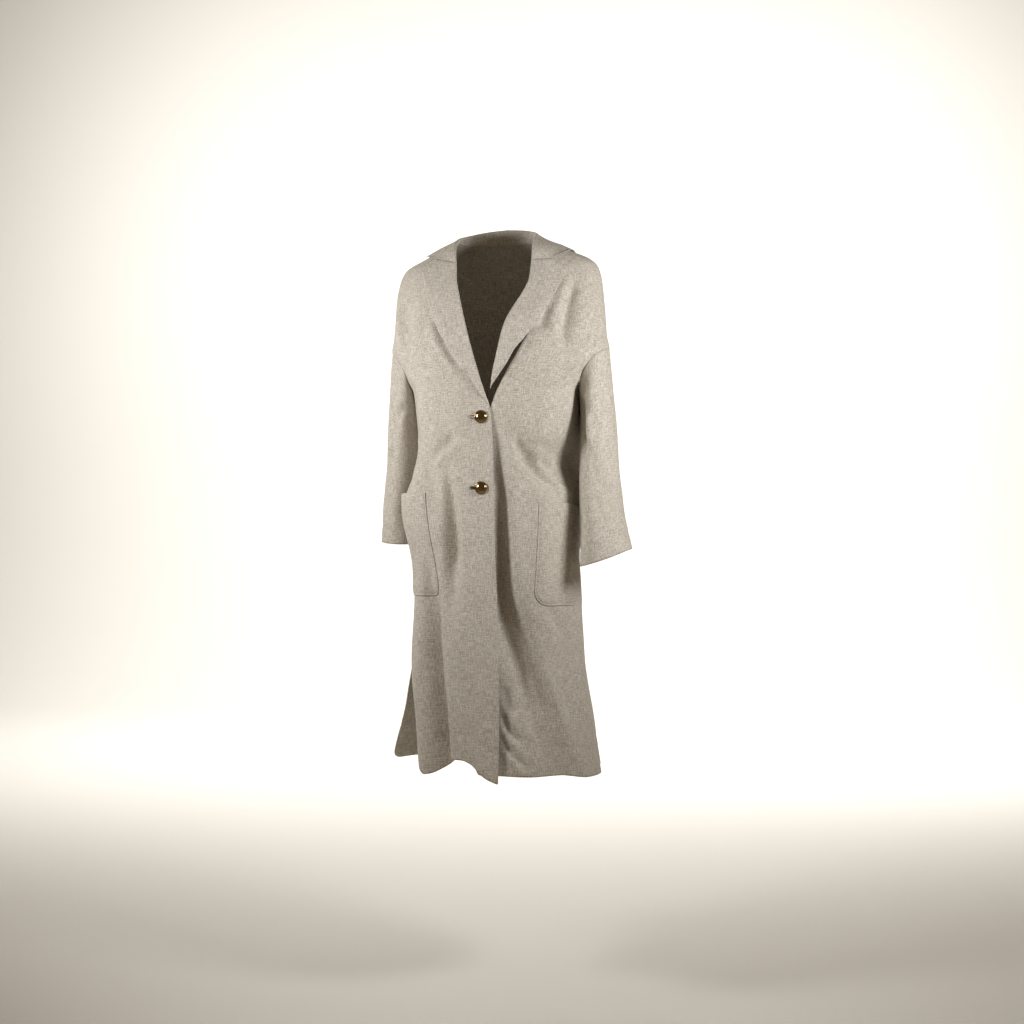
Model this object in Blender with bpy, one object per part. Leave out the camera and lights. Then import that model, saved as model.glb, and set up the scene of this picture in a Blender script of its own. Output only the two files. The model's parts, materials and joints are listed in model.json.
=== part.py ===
"""Long linen coat in its hollow worn form: metres, +Z up, front towards -Y, wearer's left at +X.

The origin is the middle of the neck, level with the inner ends of the shoulder seams. Every panel is a
wall cut from one body form, read by angle and drop: the angle is 0 at the centre front, +90 degrees at
the wearer's left and 180 degrees at the centre back; the drop is the distance below the origin.
"""

import math
from collections import namedtuple
from functools import partial

import bmesh
import bpy
import numpy as np
from mathutils import Matrix, Vector

# Cloth and seams
CLOTH = 0.0015
DOUBLE_CLOTH = 0.0022
SEAM_GAP = 0.0003
LAYER_GAP = 0.0005

# Seams of the body, as angles from the centre front
SHOULDER_SEAM = math.radians(90)
SIDE_SEAM = math.radians(100)

# Hem and side vents
HEM_DROP = 1.045
HEM_SHAPING_FROM = 0.80
HEM_CORNERS = {"left": (0.008, 0.012), "right": (0.003, 0.022), "back": (0.012, 0.018)}
HEM_LENGTHS = {"left": 0.27, "right": 0.27, "back": 0.52}
VENT_DROP = 0.80
VENT_SPREAD = math.radians(1.5)

# Armholes: a slanted loop from the outer arm down to the underarm
ARMHOLE_TOP = 0.217
ARMHOLE_FOOT = 0.300
ARMHOLE_REACH = math.radians(27)
ARMHOLE_STEPS = 9
ARMHOLE_EVENNESS = 0.4

# Sleeves
SLEEVE_ROWS = 14
ARMHOLE_BLEND = 0.16
UNDERARM_GAP = 0.0012

# Closure: two buttons on the centre line, wearer's right over left
BUTTON_X = -0.002
BUTTON_DROPS = (0.3565, 0.492)
OVERLAP_FROM = -0.075
OVERLAP_FLAT = -0.040
UNDERLAP_DEPTH = 0.010
UNDERLAP_FROM = 0.50
UNDERLAP_FULL = 0.70
UNDERLAP_EDGE = 0.030
UNDERLAP_END = 0.075
SHANK_RADIUS = 0.0013
BUTTONHOLE_HEIGHT = 0.0034
BUTTONHOLE_REACH = (-0.021, 0.003)
BUTTONHOLE_DEPTH = 0.02

# Patch pockets
POCKET_HEIGHT = 0.200
POCKET_CORNER = 0.030
POCKET_SLANT = 0.010
POCKET_SLANT_LOST = 0.6
POCKET_CORNER_TURNS = (0, 30, 55, 75, 90)
POCKET_STRAIGHT_ROWS = 5
POCKET_GAP = 0.0014
POCKET_GAPE_DEPTH = 0.03
POCKET_GAPE_SKEW = 2.0

# Grid sizes
FRONT_SPANS = (9, 8, 2)
BACK_COLUMNS = 23
EDGE_CLOSENESS = 0.45
LAPEL_ROWS = 13
COLLAR_ROWS = 33
RING_SAMPLES = 60

UP = np.array([0.0, 0.0, 1.0])

# Finite difference used for surface normals, in radians and in metres
DELTA = 0.003

# Finishes: colour, metallic and roughness
Finish = namedtuple("Finish", "colour metallic roughness")
LINEN = Finish((0.56, 0.51, 0.44, 1.0), 0.0, 0.9)
BRASS = Finish((0.42, 0.33, 0.20, 1.0), 1.0, 0.35)

Section = namedtuple("Section", "drop left right front back")
BODY = (
    Section(-0.012, 0.060, 0.060, 0.044, 0.056),
    Section(-0.004, 0.078, 0.078, 0.056, 0.064),
    Section(0.006, 0.100, 0.100, 0.065, 0.071),
    Section(0.0155, 0.125, 0.125, 0.071, 0.077),
    Section(0.026, 0.148, 0.148, 0.076, 0.083),
    Section(0.0335, 0.167, 0.163, 0.079, 0.087),
    Section(0.0415, 0.183, 0.180, 0.082, 0.091),
    Section(0.055, 0.197, 0.198, 0.088, 0.096),
    Section(0.080, 0.2045, 0.2085, 0.099, 0.102),
    Section(0.125, 0.209, 0.216, 0.118, 0.109),
    Section(0.190, 0.2140, 0.220, 0.138, 0.113),
    Section(0.217, 0.2195, 0.2235, 0.142, 0.113),
    Section(0.245, 0.204, 0.208, 0.146, 0.112),
    Section(0.272, 0.178, 0.192, 0.1475, 0.111),
    Section(0.300, 0.159, 0.1755, 0.148, 0.110),
    Section(0.345, 0.154, 0.170, 0.148, 0.108),
    Section(0.390, 0.147, 0.167, 0.147, 0.106),
    Section(0.445, 0.129, 0.167, 0.146, 0.108),
    Section(0.510, 0.156, 0.170, 0.147, 0.114),
    Section(0.600, 0.157, 0.171, 0.149, 0.122),
    Section(0.710, 0.162, 0.174, 0.151, 0.127),
    Section(0.830, 0.169, 0.180, 0.153, 0.131),
    Section(0.930, 0.184, 0.171, 0.155, 0.135),
    Section(1.080, 0.206, 0.157, 0.158, 0.141),
)

# Largest folds: where each starts and ends, its half width in degrees of angle, and how far it stands
# out (ridge) or sinks in (valley) half way down and at its foot. A foot past the hem runs off the edge.
Fold = namedtuple("Fold", "panel top top_angle foot foot_angle half_width middle end")
FOLDS = (
    Fold("right", 0.42, -27, 0.80, -20, 7, -0.024, 0.000),
    Fold("right", 0.56, -43, 1.12, -30, 8, -0.032, -0.036),
    Fold("right", 0.62, -30, 1.12, -16, 7, 0.007, 0.006),
    Fold("right", 0.56, -58, 1.12, -50, 13, 0.008, 0.014),
    Fold("right", 0.34, -55, 0.60, -30, 8, -0.010, 0.000),
    Fold("right", 0.40, -68, 0.68, -62, 15, 0.026, 0.000),
    Fold("left", 0.33, 8, 0.84, 16, 7.5, -0.028, 0.000),
    Fold("left", 0.36, 18, 0.96, 40, 8, 0.008, 0.004),
    Fold("left", 0.60, 6, 1.06, 46, 10, -0.034, -0.008),
    Fold("left", 0.72, 30, 1.08, 66, 8, 0.010, 0.004),
    Fold("left", 0.36, 36, 0.86, 44, 11, 0.009, 0.000),
    Fold("left", 0.35, 16, 0.54, 66, 8, -0.014, 0.000),
    Fold("left", 0.62, 80, 1.02, 52, 11, -0.012, -0.004),
    Fold("left", 0.72, 22, 1.16, 30, 8, 0.004, 0.008),
    Fold("left", 0.05, 55, 0.28, 42, 7, -0.009, 0.000),
    Fold("left", 0.23, 72, 0.43, 60, 9, 0.012, 0.000),
    Fold("right", 0.06, -54, 0.29, -45, 8, -0.006, 0.000),
    Fold("back", 0.16, 150, 1.12, 142, 13, -0.012, -0.022),
    Fold("back", 0.30, 172, 1.12, 176, 12, 0.008, 0.016),
    Fold("back", 0.20, 208, 1.12, 206, 12, -0.010, -0.020),
    Fold("back", 0.32, 124, 1.12, 120, 11, 0.006, 0.014),
    Fold("back", 0.34, 232, 1.12, 230, 12, 0.006, 0.010),
    Fold("back", 0.76, 262, 1.08, 260, 30, 0.042, 0.094),
    Fold("back", 0.295, 112, 0.64, 112, 15, 0.040, 0.000),
    Fold("left", 0.295, 112, 0.64, 112, 15, 0.040, 0.000),
    Fold("back", 0.12, 118, 0.34, 128, 9, -0.007, 0.000),
    Fold("back", 0.12, 242, 0.34, 232, 9, -0.007, 0.000),
    Fold("left", 0.21, 50, 0.50, 44, 15, 0.009, 0.000),
    Fold("right", 0.21, -50, 0.50, -44, 15, 0.009, 0.000),
    Fold("back", 0.21, 128, 0.50, 134, 15, 0.009, 0.000),
    Fold("back", 0.21, 232, 0.50, 226, 15, 0.009, 0.000),
)

FOLD_STATIONS = (-0.2, 0.0, 0.5, 1.0, 1.2)

# Inner edge of each front: neckline, roll line of the lapel, then the front edge below its break
FrontEdge = namedtuple("FrontEdge", "drop left right")
FRONT_EDGES = (
    FrontEdge(-0.002, 0.0785, -0.0785),
    FrontEdge(0.006, 0.0815, -0.0800),
    FrontEdge(0.020, 0.0830, -0.0790),
    FrontEdge(0.035, 0.0832, -0.0760),
    FrontEdge(0.0500, 0.0830, -0.0720),
    FrontEdge(0.0850, 0.0826, -0.0675),
    FrontEdge(0.1000, 0.0800, -0.0634),
    FrontEdge(0.1140, 0.0755, -0.0590),
    FrontEdge(0.1350, 0.0765, -0.0527),
    FrontEdge(0.1600, 0.0812, -0.0450),
    FrontEdge(0.1800, 0.0840, -0.0388),
    FrontEdge(0.1964, 0.0845, -0.0337),
    FrontEdge(0.2135, 0.0752, -0.0284),
    FrontEdge(0.2376, 0.0633, -0.0209),
    FrontEdge(0.2630, 0.0490, -0.0130),
    FrontEdge(0.2864, 0.0377, -0.0057),
    FrontEdge(0.3099, 0.0265, 0.0033),
    FrontEdge(0.3380, 0.0155, 0.0150),
    FrontEdge(0.365, -0.0050, 0.0180),
    FrontEdge(0.395, -0.0200, 0.0195),
    FrontEdge(0.490, -0.0230, 0.0215),
    FrontEdge(0.610, -0.0210, 0.0250),
    FrontEdge(0.710, -0.0190, 0.0295),
    FrontEdge(0.900, -0.0150, 0.0345),
    FrontEdge(1.080, -0.0120, 0.0335),
)

# Roll line of the left lapel; the right lapel rolls at its front's edge
RollPoint = namedtuple("RollPoint", "drop x")
LEFT_ROLL = (
    RollPoint(0.0500, 0.0830), RollPoint(0.0850, 0.0825), RollPoint(0.1140, 0.0735),
    RollPoint(0.1348, 0.0624), RollPoint(0.1520, 0.0530), RollPoint(0.1716, 0.0440),
    RollPoint(0.1900, 0.0388), RollPoint(0.2110, 0.0343), RollPoint(0.2433, 0.0285),
    RollPoint(0.2720, 0.0220), RollPoint(0.3000, 0.0152),
)

# Free edge of each lapel beside its roll line, and how far that edge stands off the front
LapelRow = namedtuple("LapelRow", "roll_drop edge_x edge_drop edge_lift")
LAPELS = {
    "left": (
        LapelRow(0.0500, 0.1473, 0.0751, 0.0004),
        LapelRow(0.0880, 0.1320, 0.1130, 0.0020),
        LapelRow(0.1160, 0.1165, 0.1430, 0.0035),
        LapelRow(0.1520, 0.0990, 0.1765, 0.0045),
        LapelRow(0.1800, 0.0830, 0.2020, 0.0045),
        LapelRow(0.2110, 0.0633, 0.2260, 0.0045),
        LapelRow(0.2433, 0.0480, 0.2530, 0.0045),
        LapelRow(0.2720, 0.0310, 0.2790, 0.0040),
        LapelRow(0.3000, 0.0205, 0.3040, 0.0020),
    ),
    "right": (
        LapelRow(0.0500, -0.1418, 0.0640, 0.0004),
        LapelRow(0.0850, -0.1245, 0.1077, 0.0024),
        LapelRow(0.1140, -0.1137, 0.1363, 0.0045),
        LapelRow(0.1500, -0.0950, 0.1700, 0.0075),
        LapelRow(0.1850, -0.0762, 0.2010, 0.0085),
        LapelRow(0.2300, -0.0500, 0.2380, 0.0075),
        LapelRow(0.2700, -0.0280, 0.2710, 0.0045),
        LapelRow(0.3050, -0.0080, 0.3060, 0.0010),
        LapelRow(0.3400, 0.0104, 0.3406, 0.0004),
    ),
}
NOTCH = {"left": (0.1205, 0.0473), "right": (-0.1126, 0.0400)}
LAPEL_SHARES = (0.0, 0.18, 0.36, 0.56, 0.78, 1.0)

# Roll of a lapel round the front's edge: how far past the edge, and how far above the front's face
RollRow = namedtuple("RollRow", "outer_past outer_lift inner_past inner_lift")
LAPEL_ROLL = (
    RollRow(0.0006, -0.0015, 0.0006, -0.0004),
    RollRow(0.0026, -0.0010, 0.0012, 0.0000),
    RollRow(0.0032, 0.0010, 0.0013, 0.0008),
    RollRow(0.0018, 0.0033, 0.0006, 0.0014),
)
LAPEL_LIFT = 0.0040
LAPEL_FLAT_FROM = 0.004

# Collar sections from its end on each front round to the centre back: where the foot meets the neckline,
# how far out, back and up the roll lies, and where the fall's free edge lies on the body
CollarRow = namedtuple(
    "CollarRow", "foot_angle foot_drop roll_out roll_back roll_rise edge_angle edge_drop")
COLLAR_BACK = (
    CollarRow(90, -0.0020, 0.0745, 0.0000, 0.0150, 93, 0.0262),
    CollarRow(118, -0.0045, 0.0620, 0.0310, 0.0245, 112, 0.0285),
    CollarRow(148, -0.0065, 0.0345, 0.0525, 0.0330, 142, 0.0340),
    CollarRow(180, -0.0080, 0.0000, 0.0590, 0.0365, 180, 0.0370),
)
COLLAR = {
    "left": (
        CollarRow(25, 0.0500, 0.0800, -0.0800, -0.0470, 73, 0.0290),
        CollarRow(30, 0.0330, 0.0815, -0.0745, -0.0290, 76, 0.0275),
        CollarRow(40, 0.0180, 0.0815, -0.0600, -0.0090, 80, 0.0262),
        CollarRow(64, 0.0030, 0.0795, -0.0330, 0.0055, 85, 0.0258),
        *COLLAR_BACK,
    ),
    "right": (
        CollarRow(22, 0.0500, 0.0690, -0.0810, -0.0470, 68, 0.0305),
        CollarRow(27, 0.0330, 0.0735, -0.0760, -0.0290, 74, 0.0275),
        CollarRow(38, 0.0180, 0.0775, -0.0600, -0.0090, 79, 0.0262),
        CollarRow(64, 0.0030, 0.0785, -0.0330, 0.0055, 85, 0.0258),
        *COLLAR_BACK,
    ),
}
COLLAR_LIFT = 0.0045
COLLAR_FOOT_LIFT = 0.0012
COLLAR_FOOT_INSET = 0.0010
COLLAR_ROLL_HALF = 0.0032
COLLAR_ROLL_DROP = 0.0025
COLLAR_SHARES = (0.06, 0.30, 0.55, 0.78, 1.0)
NOTCH_SHARE = 0.55
COLLAR_TIP_LIFT = 0.0015
GORGE_EASE = 0.30
NECK_RISE = ((90, 0.0020), (118, 0.0045), (148, 0.0065), (180, 0.0080))

SleeveRing = namedtuple("SleeveRing", "drop out back half_width half_depth")
SLEEVES = {
    "left": (
        SleeveRing(0.2585, 0.1885, -0.004, 0.0320, 0.057),
        SleeveRing(0.330, 0.1930, -0.004, 0.0345, 0.060),
        SleeveRing(0.400, 0.1995, -0.010, 0.0370, 0.062),
        SleeveRing(0.480, 0.2055, -0.024, 0.0400, 0.062),
        SleeveRing(0.555, 0.2135, -0.040, 0.0430, 0.063),
        SleeveRing(0.626, 0.2225, -0.052, 0.0500, 0.066),
    ),
    "right": (
        SleeveRing(0.2585, 0.1995, -0.004, 0.0240, 0.057),
        SleeveRing(0.330, 0.2055, 0.022, 0.0330, 0.060),
        SleeveRing(0.400, 0.2105, 0.034, 0.0360, 0.061),
        SleeveRing(0.480, 0.2155, 0.042, 0.0380, 0.062),
        SleeveRing(0.555, 0.2190, 0.047, 0.0395, 0.063),
        SleeveRing(0.598, 0.2215, 0.050, 0.0410, 0.065),
    ),
}
CuffTilt = namedtuple("CuffTilt", "towards height")
CUFF_TILTS = {"left": CuffTilt(math.radians(165), 0.017), "right": CuffTilt(math.radians(120), 0.006)}

# Sleeve folds: turn is 0 at the outer arm, 90 degrees at its front, 180 degrees beside the body
SleeveFold = namedtuple("SleeveFold", "side drop turn slant half_drop half_turn depth")
SLEEVE_FOLDS = (
    SleeveFold("left", 0.345, 126, 330, 0.06, 30, -0.010),
    SleeveFold("left", 0.34, 84, 420, 0.06, 20, 0.005),
    SleeveFold("left", 0.42, 100, 380, 0.05, 26, 0.004),
    SleeveFold("left", 0.50, 70, -300, 0.06, 28, -0.005),
    SleeveFold("left", 0.40, 300, 300, 0.07, 30, -0.006),
    SleeveFold("left", 0.58, 20, 200, 0.06, 30, -0.005),
    SleeveFold("right", 0.36, 60, 420, 0.05, 28, -0.005),
    SleeveFold("right", 0.45, 40, 300, 0.06, 26, -0.004),
    SleeveFold("right", 0.52, 90, -320, 0.06, 28, 0.004),
    SleeveFold("right", 0.42, 290, 300, 0.07, 30, -0.006),
)

HemRow = namedtuple("HemRow", "share drop")
HEMS = {
    "left": (HemRow(0.0, 1.040), HemRow(0.35, 1.0405), HemRow(0.5, 1.041), HemRow(0.7, 1.050),
             HemRow(1.0, 1.052)),
    "right": (HemRow(0.0, 1.055), HemRow(0.06, 1.046), HemRow(0.11, 1.032), HemRow(0.16, 1.018),
              HemRow(0.22, 1.0115), HemRow(0.31, 1.011), HemRow(0.37, 1.016), HemRow(0.43, 1.034),
              HemRow(0.48, 1.045), HemRow(0.53, 1.048), HemRow(0.58, 1.041), HemRow(0.63, 1.028),
              HemRow(0.70, 1.014), HemRow(1.0, 1.006)),
    "back": (HemRow(0.0, 1.040), HemRow(0.3, 1.047), HemRow(0.7, 1.044), HemRow(1.0, 1.040)),
}

PocketPlace = namedtuple("PocketPlace", "top_drop top_x foot_x width mouth_lift")
POCKETS = {
    "left": PocketPlace(0.516, 0.1005, 0.0915, 0.140, 0.0015),
    "right": PocketPlace(0.500, -0.1258, -0.0970, 0.126, 0.0080),
}

# Rows of the body grid above and below the armholes
YOKE_DROPS = (-0.002, 0.006, 0.015, 0.0245, 0.034, 0.045, 0.060, 0.085, 0.120, 0.158, 0.192)
SKIRT_DROPS = (0.320, 0.350, 0.385, 0.420, 0.455, 0.490, 0.530, 0.570, 0.615, 0.660, 0.705, 0.750, 0.800,
               0.850, 0.900, 0.950, 0.995, 1.030, 1.045)

# Domed button from the cloth outward: radius and distance from the back of the dome
BUTTON_PROFILE = (
    (0.0013, 0.0000), (0.0100, 0.0002), (0.0120, 0.0008), (0.0125, 0.0016), (0.0122, 0.0024),
    (0.0114, 0.0029), (0.0108, 0.0028), (0.0100, 0.0042), (0.0082, 0.0056), (0.0056, 0.0067),
    (0.0028, 0.0073),
)
BUTTON_CROWN = 0.0075
BUTTON_SEGMENTS = 24
BUTTON_STANDOFF = 0.0004


def column(table, name):
    """One named column of a table."""
    return np.array([getattr(row, name) for row in table])


def smooth_through(stations, values, at):
    """Monotone cubic through values at rising stations, held level past both ends."""
    stations, values = np.asarray(stations, float), np.asarray(values, float)
    spans = np.diff(stations)
    slopes = np.diff(values) / spans
    before, after = slopes[:-1], slopes[1:]
    same_way = before * after > 0
    mean = np.where(same_way, 2 * before * after / np.where(same_way, before + after, 1), 0)
    tangents = np.concatenate([slopes[:1], mean, slopes[-1:]])
    at = np.clip(at, stations[0], stations[-1])
    i = np.clip(np.searchsorted(stations, at) - 1, 0, len(spans) - 1)
    t = (at - stations[i]) / spans[i]
    start = (1 + 2 * t) * (1 - t) ** 2 * values[i] + t * (1 - t) ** 2 * spans[i] * tangents[i]
    end = t * t * (3 - 2 * t) * values[i + 1] + t * t * (t - 1) * spans[i] * tangents[i + 1]
    return start + end


def smooth_step(share):
    share = np.clip(share, 0, 1)
    return share * share * (3 - 2 * share)


def read(table, name, drop):
    """A column of a table whose first column is the drop, read at any drop."""
    return smooth_through(column(table, "drop"), column(table, name), drop)


def unit(vectors):
    return vectors / np.linalg.norm(vectors, axis=-1, keepdims=True)


def body_form(angle, drop):
    """Point of the coat's form before its folds."""
    widths = np.where(np.sin(angle) > 0, read(BODY, "left", drop), read(BODY, "right", drop))
    depths = np.where(np.cos(angle) > 0, read(BODY, "front", drop), read(BODY, "back", drop))
    return np.stack([widths * np.sin(angle), -depths * np.cos(angle), -drop], axis=-1)


def normal_of(surface, angle, drop):
    """Outward unit normal of a surface read by angle and drop."""
    across = surface(angle + DELTA, drop) - surface(angle - DELTA, drop)
    down = surface(angle, drop + DELTA) - surface(angle, drop - DELTA)
    return unit(np.cross(down, across))


def fold_height(panel, angle, drop):
    """How far the folds of a panel stand out at each point."""
    height = np.zeros_like(drop)
    for fold in FOLDS:
        if fold.panel != panel:
            continue
        share = (drop - fold.top) / (fold.foot - fold.top)
        centre = fold.top_angle + (fold.foot_angle - fold.top_angle) * np.clip(share, 0, 1)
        off = (np.degrees(angle) - centre + 180) % 360 - 180
        along = smooth_through(FOLD_STATIONS, (0, 0, fold.middle, fold.end, fold.end), share)
        height = height + along * np.exp(-(off / fold.half_width) ** 2)
    return height


def overlap_lift(panel, angle, drop):
    """At the closure the right front rides over the left one, which sinks a little lower down."""
    x = body_form(angle, drop)[..., 0]
    if panel == "right":
        return (CLOTH + LAYER_GAP) * smooth_step((x - OVERLAP_FROM) / (OVERLAP_FLAT - OVERLAP_FROM))
    if panel == "left":
        lower = smooth_step((drop - UNDERLAP_FROM) / (UNDERLAP_FULL - UNDERLAP_FROM))
        return -UNDERLAP_DEPTH * lower * smooth_step((UNDERLAP_END - x) / (UNDERLAP_END - UNDERLAP_EDGE))
    return np.zeros_like(drop)


def cloth(panel, angle, drop):
    """Point of the outer face of a body panel, folds included."""
    height = fold_height(panel, angle, drop) + overlap_lift(panel, angle, drop)
    return body_form(angle, drop) + normal_of(body_form, angle, drop) * height[..., None]


def laid_on(panel, angle, drop, lift):
    """Points of a panel's outer face moved out by a lift."""
    normal = normal_of(partial(cloth, panel), angle, drop)
    return cloth(panel, angle, drop) + normal * np.broadcast_to(lift, drop.shape)[..., None]


def angle_at(x, drop):
    """Angle on the front half of the body form where it reaches x."""
    width = np.where(x > 0, read(BODY, "left", drop), read(BODY, "right", drop))
    return np.arcsin(np.clip(x / width, -1, 1))


def side_sign(side):
    return 1 if side == "left" else -1


def spread(count):
    """Shares from 0 to 1, closer together near both ends."""
    share = np.linspace(0, 1, count)
    return share - EDGE_CLOSENESS * np.sin(2 * math.pi * share) / (2 * math.pi)


def armhole_turns():
    """Turns of half the armhole loop, outer arm to underarm, with its end rows not too close together."""
    even = np.linspace(0, 1, ARMHOLE_STEPS + 1)
    rounded = (1 - np.cos(math.pi * even)) / 2
    return np.arccos(1 - 2 * (rounded + (even - rounded) * ARMHOLE_EVENNESS))


def armhole_drop(turn, gap=0.0):
    middle = (ARMHOLE_TOP + ARMHOLE_FOOT) / 2
    half = (ARMHOLE_FOOT - ARMHOLE_TOP) / 2
    return middle - (half + gap) * np.cos(turn)


def body_rows():
    """Nominal drops of the body grid; those at the armholes meet the sleeve's first ring."""
    return np.concatenate([YOKE_DROPS, armhole_drop(armhole_turns(), SEAM_GAP), SKIRT_DROPS])


def seam_half_angle(drop, towards_back):
    """Angle of a panel's side boundary: shoulder seam, armhole, side seam and vent."""
    share = np.clip((drop - ARMHOLE_TOP) / (ARMHOLE_FOOT - ARMHOLE_TOP), 0, 1)
    middle = (ARMHOLE_TOP + ARMHOLE_FOOT) / 2
    half = (ARMHOLE_FOOT - ARMHOLE_TOP) / 2 + SEAM_GAP
    cosine = np.clip((middle - drop) / half, -1, 1)
    gap = SEAM_GAP / 2 / read(BODY, "back", drop)
    reach = (ARMHOLE_REACH + gap) * np.sqrt(1 - cosine ** 2)
    vent = VENT_SPREAD * smooth_step((drop - VENT_DROP) / (HEM_DROP - VENT_DROP))
    seam = SHOULDER_SEAM + (SIDE_SEAM - SHOULDER_SEAM) * share
    return seam + (1 if towards_back else -1) * (gap + reach + vent)


def hem_shaped(panel, nominal, share):
    """Nominal drops eased towards the panel's hem line, with rounded vent and front corners."""
    hem = smooth_through(column(HEMS[panel], "share"), column(HEMS[panel], "drop"), share)
    for corner, from_end in zip(HEM_CORNERS[panel], (share, 1 - share)):
        inside = np.clip(corner - from_end * HEM_LENGTHS[panel], 0, corner)
        hem = hem - (corner - np.sqrt(corner ** 2 - inside ** 2))
    stretch = (hem - HEM_SHAPING_FROM) / (HEM_DROP - HEM_SHAPING_FROM)
    below = np.maximum(nominal - HEM_SHAPING_FROM, 0)
    return np.minimum(nominal, HEM_SHAPING_FROM) + below * stretch


def material_of(name, finish):
    material = bpy.data.materials.new(name)
    material.use_nodes = True
    shader = material.node_tree.nodes["Principled BSDF"]
    shader.inputs["Base Color"].default_value = finish.colour
    shader.inputs["Metallic"].default_value = finish.metallic
    shader.inputs["Roughness"].default_value = finish.roughness
    return material


def add_object(name, mesh_data, finish=LINEN):
    """Turn a bmesh into a named object with its own material."""
    bmesh.ops.recalc_face_normals(mesh_data, faces=mesh_data.faces)
    mesh = bpy.data.meshes.new(name)
    mesh_data.to_mesh(mesh)
    mesh_data.free()
    node = bpy.data.objects.new(name, mesh)
    bpy.context.scene.collection.objects.link(node)
    mesh.materials.append(material_of(name + "_finish", finish))
    return node


def add_wall(name, outer, inner, tube=False):
    """Closed solid between two grids of points: an open sheet, or a tube whose columns meet."""
    solid = bmesh.new()
    rows, columns = outer.shape[:2]
    faces = [[[solid.verts.new(point) for point in row] for row in grid] for grid in (outer, inner)]
    outside, inside = faces
    steps = [(j, (j + 1) % columns) for j in range(columns if tube else columns - 1)]
    for i in range(rows - 1):
        for j, k in steps:
            solid.faces.new((outside[i][j], outside[i][k], outside[i + 1][k], outside[i + 1][j]))
            solid.faces.new((inside[i][j], inside[i + 1][j], inside[i + 1][k], inside[i][k]))
    for i in (0, rows - 1):
        for j, k in steps:
            solid.faces.new((outside[i][j], outside[i][k], inside[i][k], inside[i][j]))
    for j in () if tube else (0, columns - 1):
        for i in range(rows - 1):
            solid.faces.new((outside[i][j], outside[i + 1][j], inside[i + 1][j], inside[i][j]))
    bmesh.ops.triangulate(solid, faces=solid.faces, quad_method="SHORT_EDGE")
    return add_object(name, solid)


def add_panel(name, panel, angle, drop):
    """Body panel: its outer face and the face one cloth thickness inside it."""
    outer = laid_on(panel, angle, drop, 0.0)
    return add_wall(name, outer, laid_on(panel, angle, drop, -CLOTH))


def pocket_edge_shares(side, drop):
    """Where the pocket's two upright edges cut each row of a front, held level past the pocket."""
    place = POCKETS[side]
    held = np.clip(drop, place.top_drop, place.top_drop + POCKET_HEIGHT)
    down = (held - place.top_drop) / POCKET_HEIGHT
    near = angle_at(place.top_x + (place.foot_x - place.top_x) * down, held)
    start = angle_at(read(FRONT_EDGES, side, held), held)
    end = side_sign(side) * seam_half_angle(held, False)
    fan = np.linspace(0, 1, RING_SAMPLES)
    angles = near[:, None] + (end - near)[:, None] * fan
    ring = cloth(side, angles, np.broadcast_to(held[:, None], angles.shape))
    run = np.cumsum(np.linalg.norm(np.diff(ring, axis=1), axis=-1), axis=1)
    far = np.array([np.interp(place.width, row, fan[1:]) for row in run])
    first = (near - start) / (end - start)
    return first, first + (1 - first) * far


def front_shares(side, drop):
    """Columns of a front, as shares of each row: edge to pocket, across the pocket, on to the side."""
    first, second = pocket_edge_shares(side, drop)
    before, across, after = FRONT_SPANS
    edge_side = spread(2 * before + 1)[:before] * 2
    side_side = spread(2 * after + 1)[after + 1:] * 2 - 1
    columns = [first[:, None] * edge_side,
               first[:, None] + (second - first)[:, None] * np.linspace(0, 1, across + 1),
               second[:, None] + (1 - second)[:, None] * side_side]
    return np.concatenate(columns, axis=1)


def front_angle(side, share, drop):
    start = angle_at(read(FRONT_EDGES, side, drop), drop)
    end = side_sign(side) * seam_half_angle(drop, False)
    return start + (end - start) * share


def add_front(side):
    """One front from its neckline, roll line and front edge out to the shoulder, armhole and side."""
    rows = body_rows()
    share = front_shares(side, rows)
    drop = hem_shaped(side, np.broadcast_to(rows[:, None], share.shape), share)
    return add_panel("front_" + side, side, front_angle(side, share, drop), drop)


def neck_drop(angle):
    """Drop of the neckline at an angle from the centre front."""
    stations, heights = zip(*NECK_RISE)
    turned = np.degrees(np.abs((angle + math.pi) % (2 * math.pi) - math.pi))
    return -smooth_through(stations, heights, turned)


def add_back():
    """The back in one piece, from the left side round to the right."""
    share, nominal = np.meshgrid(spread(BACK_COLUMNS), body_rows())
    drop = hem_shaped("back", nominal, share)
    start = seam_half_angle(drop, True)
    angle = start + (2 * math.pi - 2 * start) * share
    raised = np.clip((YOKE_DROPS[2] - nominal) / (YOKE_DROPS[2] - YOKE_DROPS[0]), 0, 1)
    drop = drop + raised * (neck_drop(angle) - YOKE_DROPS[0])
    return add_panel("back", "back", angle, drop)


def armhole_loop(side):
    """Points of the armhole seam, once round from the outer arm by the front."""
    half = armhole_turns()
    turn = np.concatenate([half[:-1], 2 * math.pi - half[:0:-1]])
    drop = armhole_drop(turn)
    share = (1 - np.cos(turn)) / 2
    seam = SHOULDER_SEAM + (SIDE_SEAM - SHOULDER_SEAM) * share
    angle = side_sign(side) * (seam - ARMHOLE_REACH * np.sin(turn))
    front = cloth(side, angle, drop)
    back = cloth("back", angle, drop)
    loop = np.where((np.sin(turn) >= 0)[:, None], front, back)
    return turn, loop + normal_of(body_form, angle, drop) * (UNDERARM_GAP * share ** 2)[:, None]


def sleeve_fold_height(side, turn, drop):
    height = np.zeros_like(drop)
    for fold in SLEEVE_FOLDS:
        if fold.side != side:
            continue
        along = (drop - fold.drop) / fold.half_drop
        centre = fold.turn + fold.slant * (drop - fold.drop)
        off = ((np.degrees(turn) - centre + 180) % 360 - 180) / fold.half_turn
        height = height + fold.depth * np.exp(-along ** 2 - off ** 2)
    return height


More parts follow.
